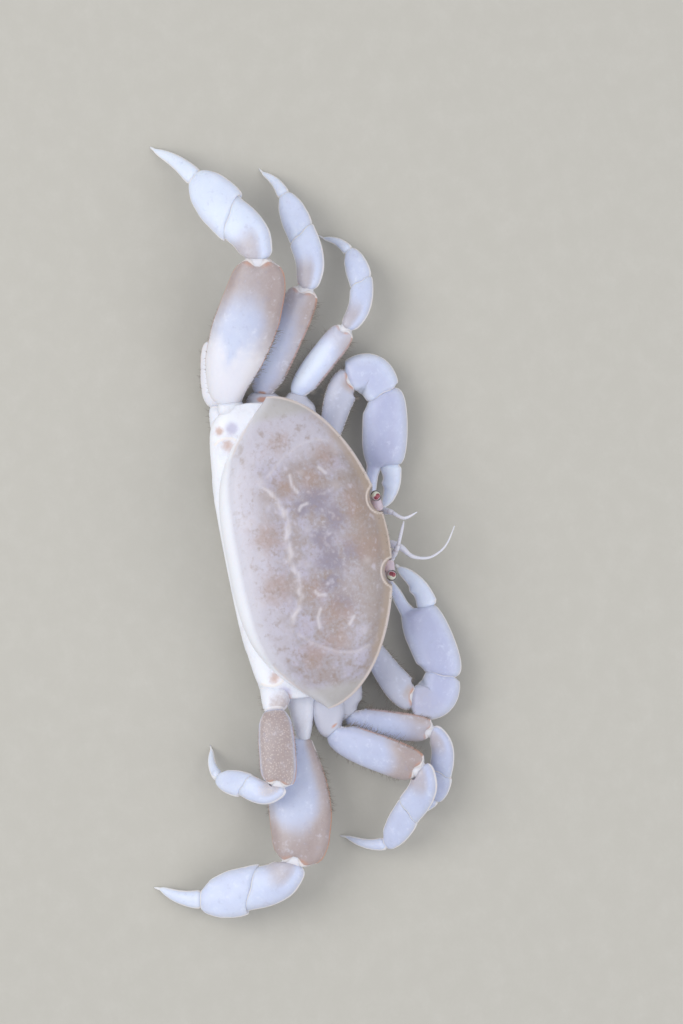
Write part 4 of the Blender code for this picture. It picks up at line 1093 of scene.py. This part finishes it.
def claw_limb(side):
    elbow, wrist, fixed_tip, knuckle, free_tip = (np.array(p) for p in CLAW_POSES[side])
    coxa = np.array((THORAX_HALF_WIDTH + GAP / 2, *CLAW_COXA))
    arm, fore, hand = elbow - coxa, wrist - elbow, fixed_tip - wrist
    bend, turn = between(arm, fore), between(fore, hand)
    shapes = {
        "base": dict(ends=(coxa, elbow), lines=(OUTWARD, bend), outline=CLAW_BASE_OUTLINE,
                     reach=(0.3, 0.12), lobes=0.08),
        "carpus": dict(ends=(elbow, wrist), lines=(bend, turn), outline=CLAW_CARPUS_OUTLINE,
                       bow=0.45, reach=(0.1, 0.1), lobes=0.04),
        "palm": dict(ends=(wrist, fixed_tip), lines=(turn, hand), outline=PALM_OUTLINE,
                     reach=(0.12, 0.1), domes=(0.12, 0.2), rows=120),
        "finger": dict(ends=(knuckle, free_tip), lines=(hand, free_tip - knuckle),
                       outline=FINGER_OUTLINE, bow=0.12, reach=(0.1, 0.12),
                       domes=(0.1, 0.2), rows=90)}
    plans = [(part, CLAW, dict(shape, size=CLAW_SIZES[part], edge=-1.0, rim=0.015))
             for part, shape in shapes.items()]
    limb(f"{side}_claw", side, plans, {"base": CLAW_FRINGE},
         lambda where, part: claw_masks(where, side, part))


back_shell()
body_wall()
tail_flap()
for side in ("left", "right"):
    eye(side)
    feeler(side)
    mouth_limb(side)
    claw_limb(side)
    for number in (1, 2, 3, 4):
        walking_leg(side, number)


# Floor, light and camera

FLOOR_HALF_WIDTH = 120.0
FRAME_HEIGHT = 45.06    # of the picture, at the height of the crab's middle
FRAME_CENTRE = (1.38, -1.91)
CAMERA_HEIGHT = 300.0
SENSOR = 36.0
PICTURE_TURN = (-0.195, -0.981)    # the picture's right hand, seen on the floor


def floor():
    """A plain pale board under the crab."""
    corners = np.array(((-1, -1, 0), (1, -1, 0), (1, 1, 0), (-1, 1, 0))) * FLOOR_HALF_WIDTH * MM
    data = bpy.data.meshes.new("table")
    data.from_pydata(corners.tolist(), [], [(0, 1, 2, 3)])
    data.materials.append(BOARD)
    put_in("table", data)


def lamp(name, place, size, power, colour):
    data = bpy.data.lights.new(name, "AREA")
    data.shape = "DISK"
    data.size = size * MM
    data.energy = power
    data.color = paint(colour)[:3]
    light = put_in(name, data)
    light.location = np.array(place) * MM
    light.rotation_euler = (-light.location).to_track_quat("-Z", "Y").to_euler()


def camera():
    data = bpy.data.cameras.new("camera")
    data.sensor_width = SENSOR
    data.lens = SENSOR * CAMERA_HEIGHT / FRAME_HEIGHT
    data.clip_start = 0.001
    data.clip_end = 10.0
    eye_point = put_in("camera", data)
    eye_point.location = np.array((*FRAME_CENTRE, CAMERA_HEIGHT + SHELL_MARGIN_Z)) * MM
    eye_point.rotation_euler = (0, 0, math.atan2(PICTURE_TURN[1], PICTURE_TURN[0]))
    SCENE.camera = eye_point


floor()
lamp("key", (60, 130, 150), 170, 0.19, "FFFFFF")
lamp("fill", (-60, -120, 140), 160, 0.11, "FAFBFF")
world = bpy.data.worlds.new("soft_room")
world.use_nodes = True
room = world.node_tree.nodes["Background"].inputs
room["Color"].default_value = paint("F4F6FB")
room["Strength"].default_value = 0.68
SCENE.world = world
SCENE.view_settings.view_transform = "Standard"
camera()
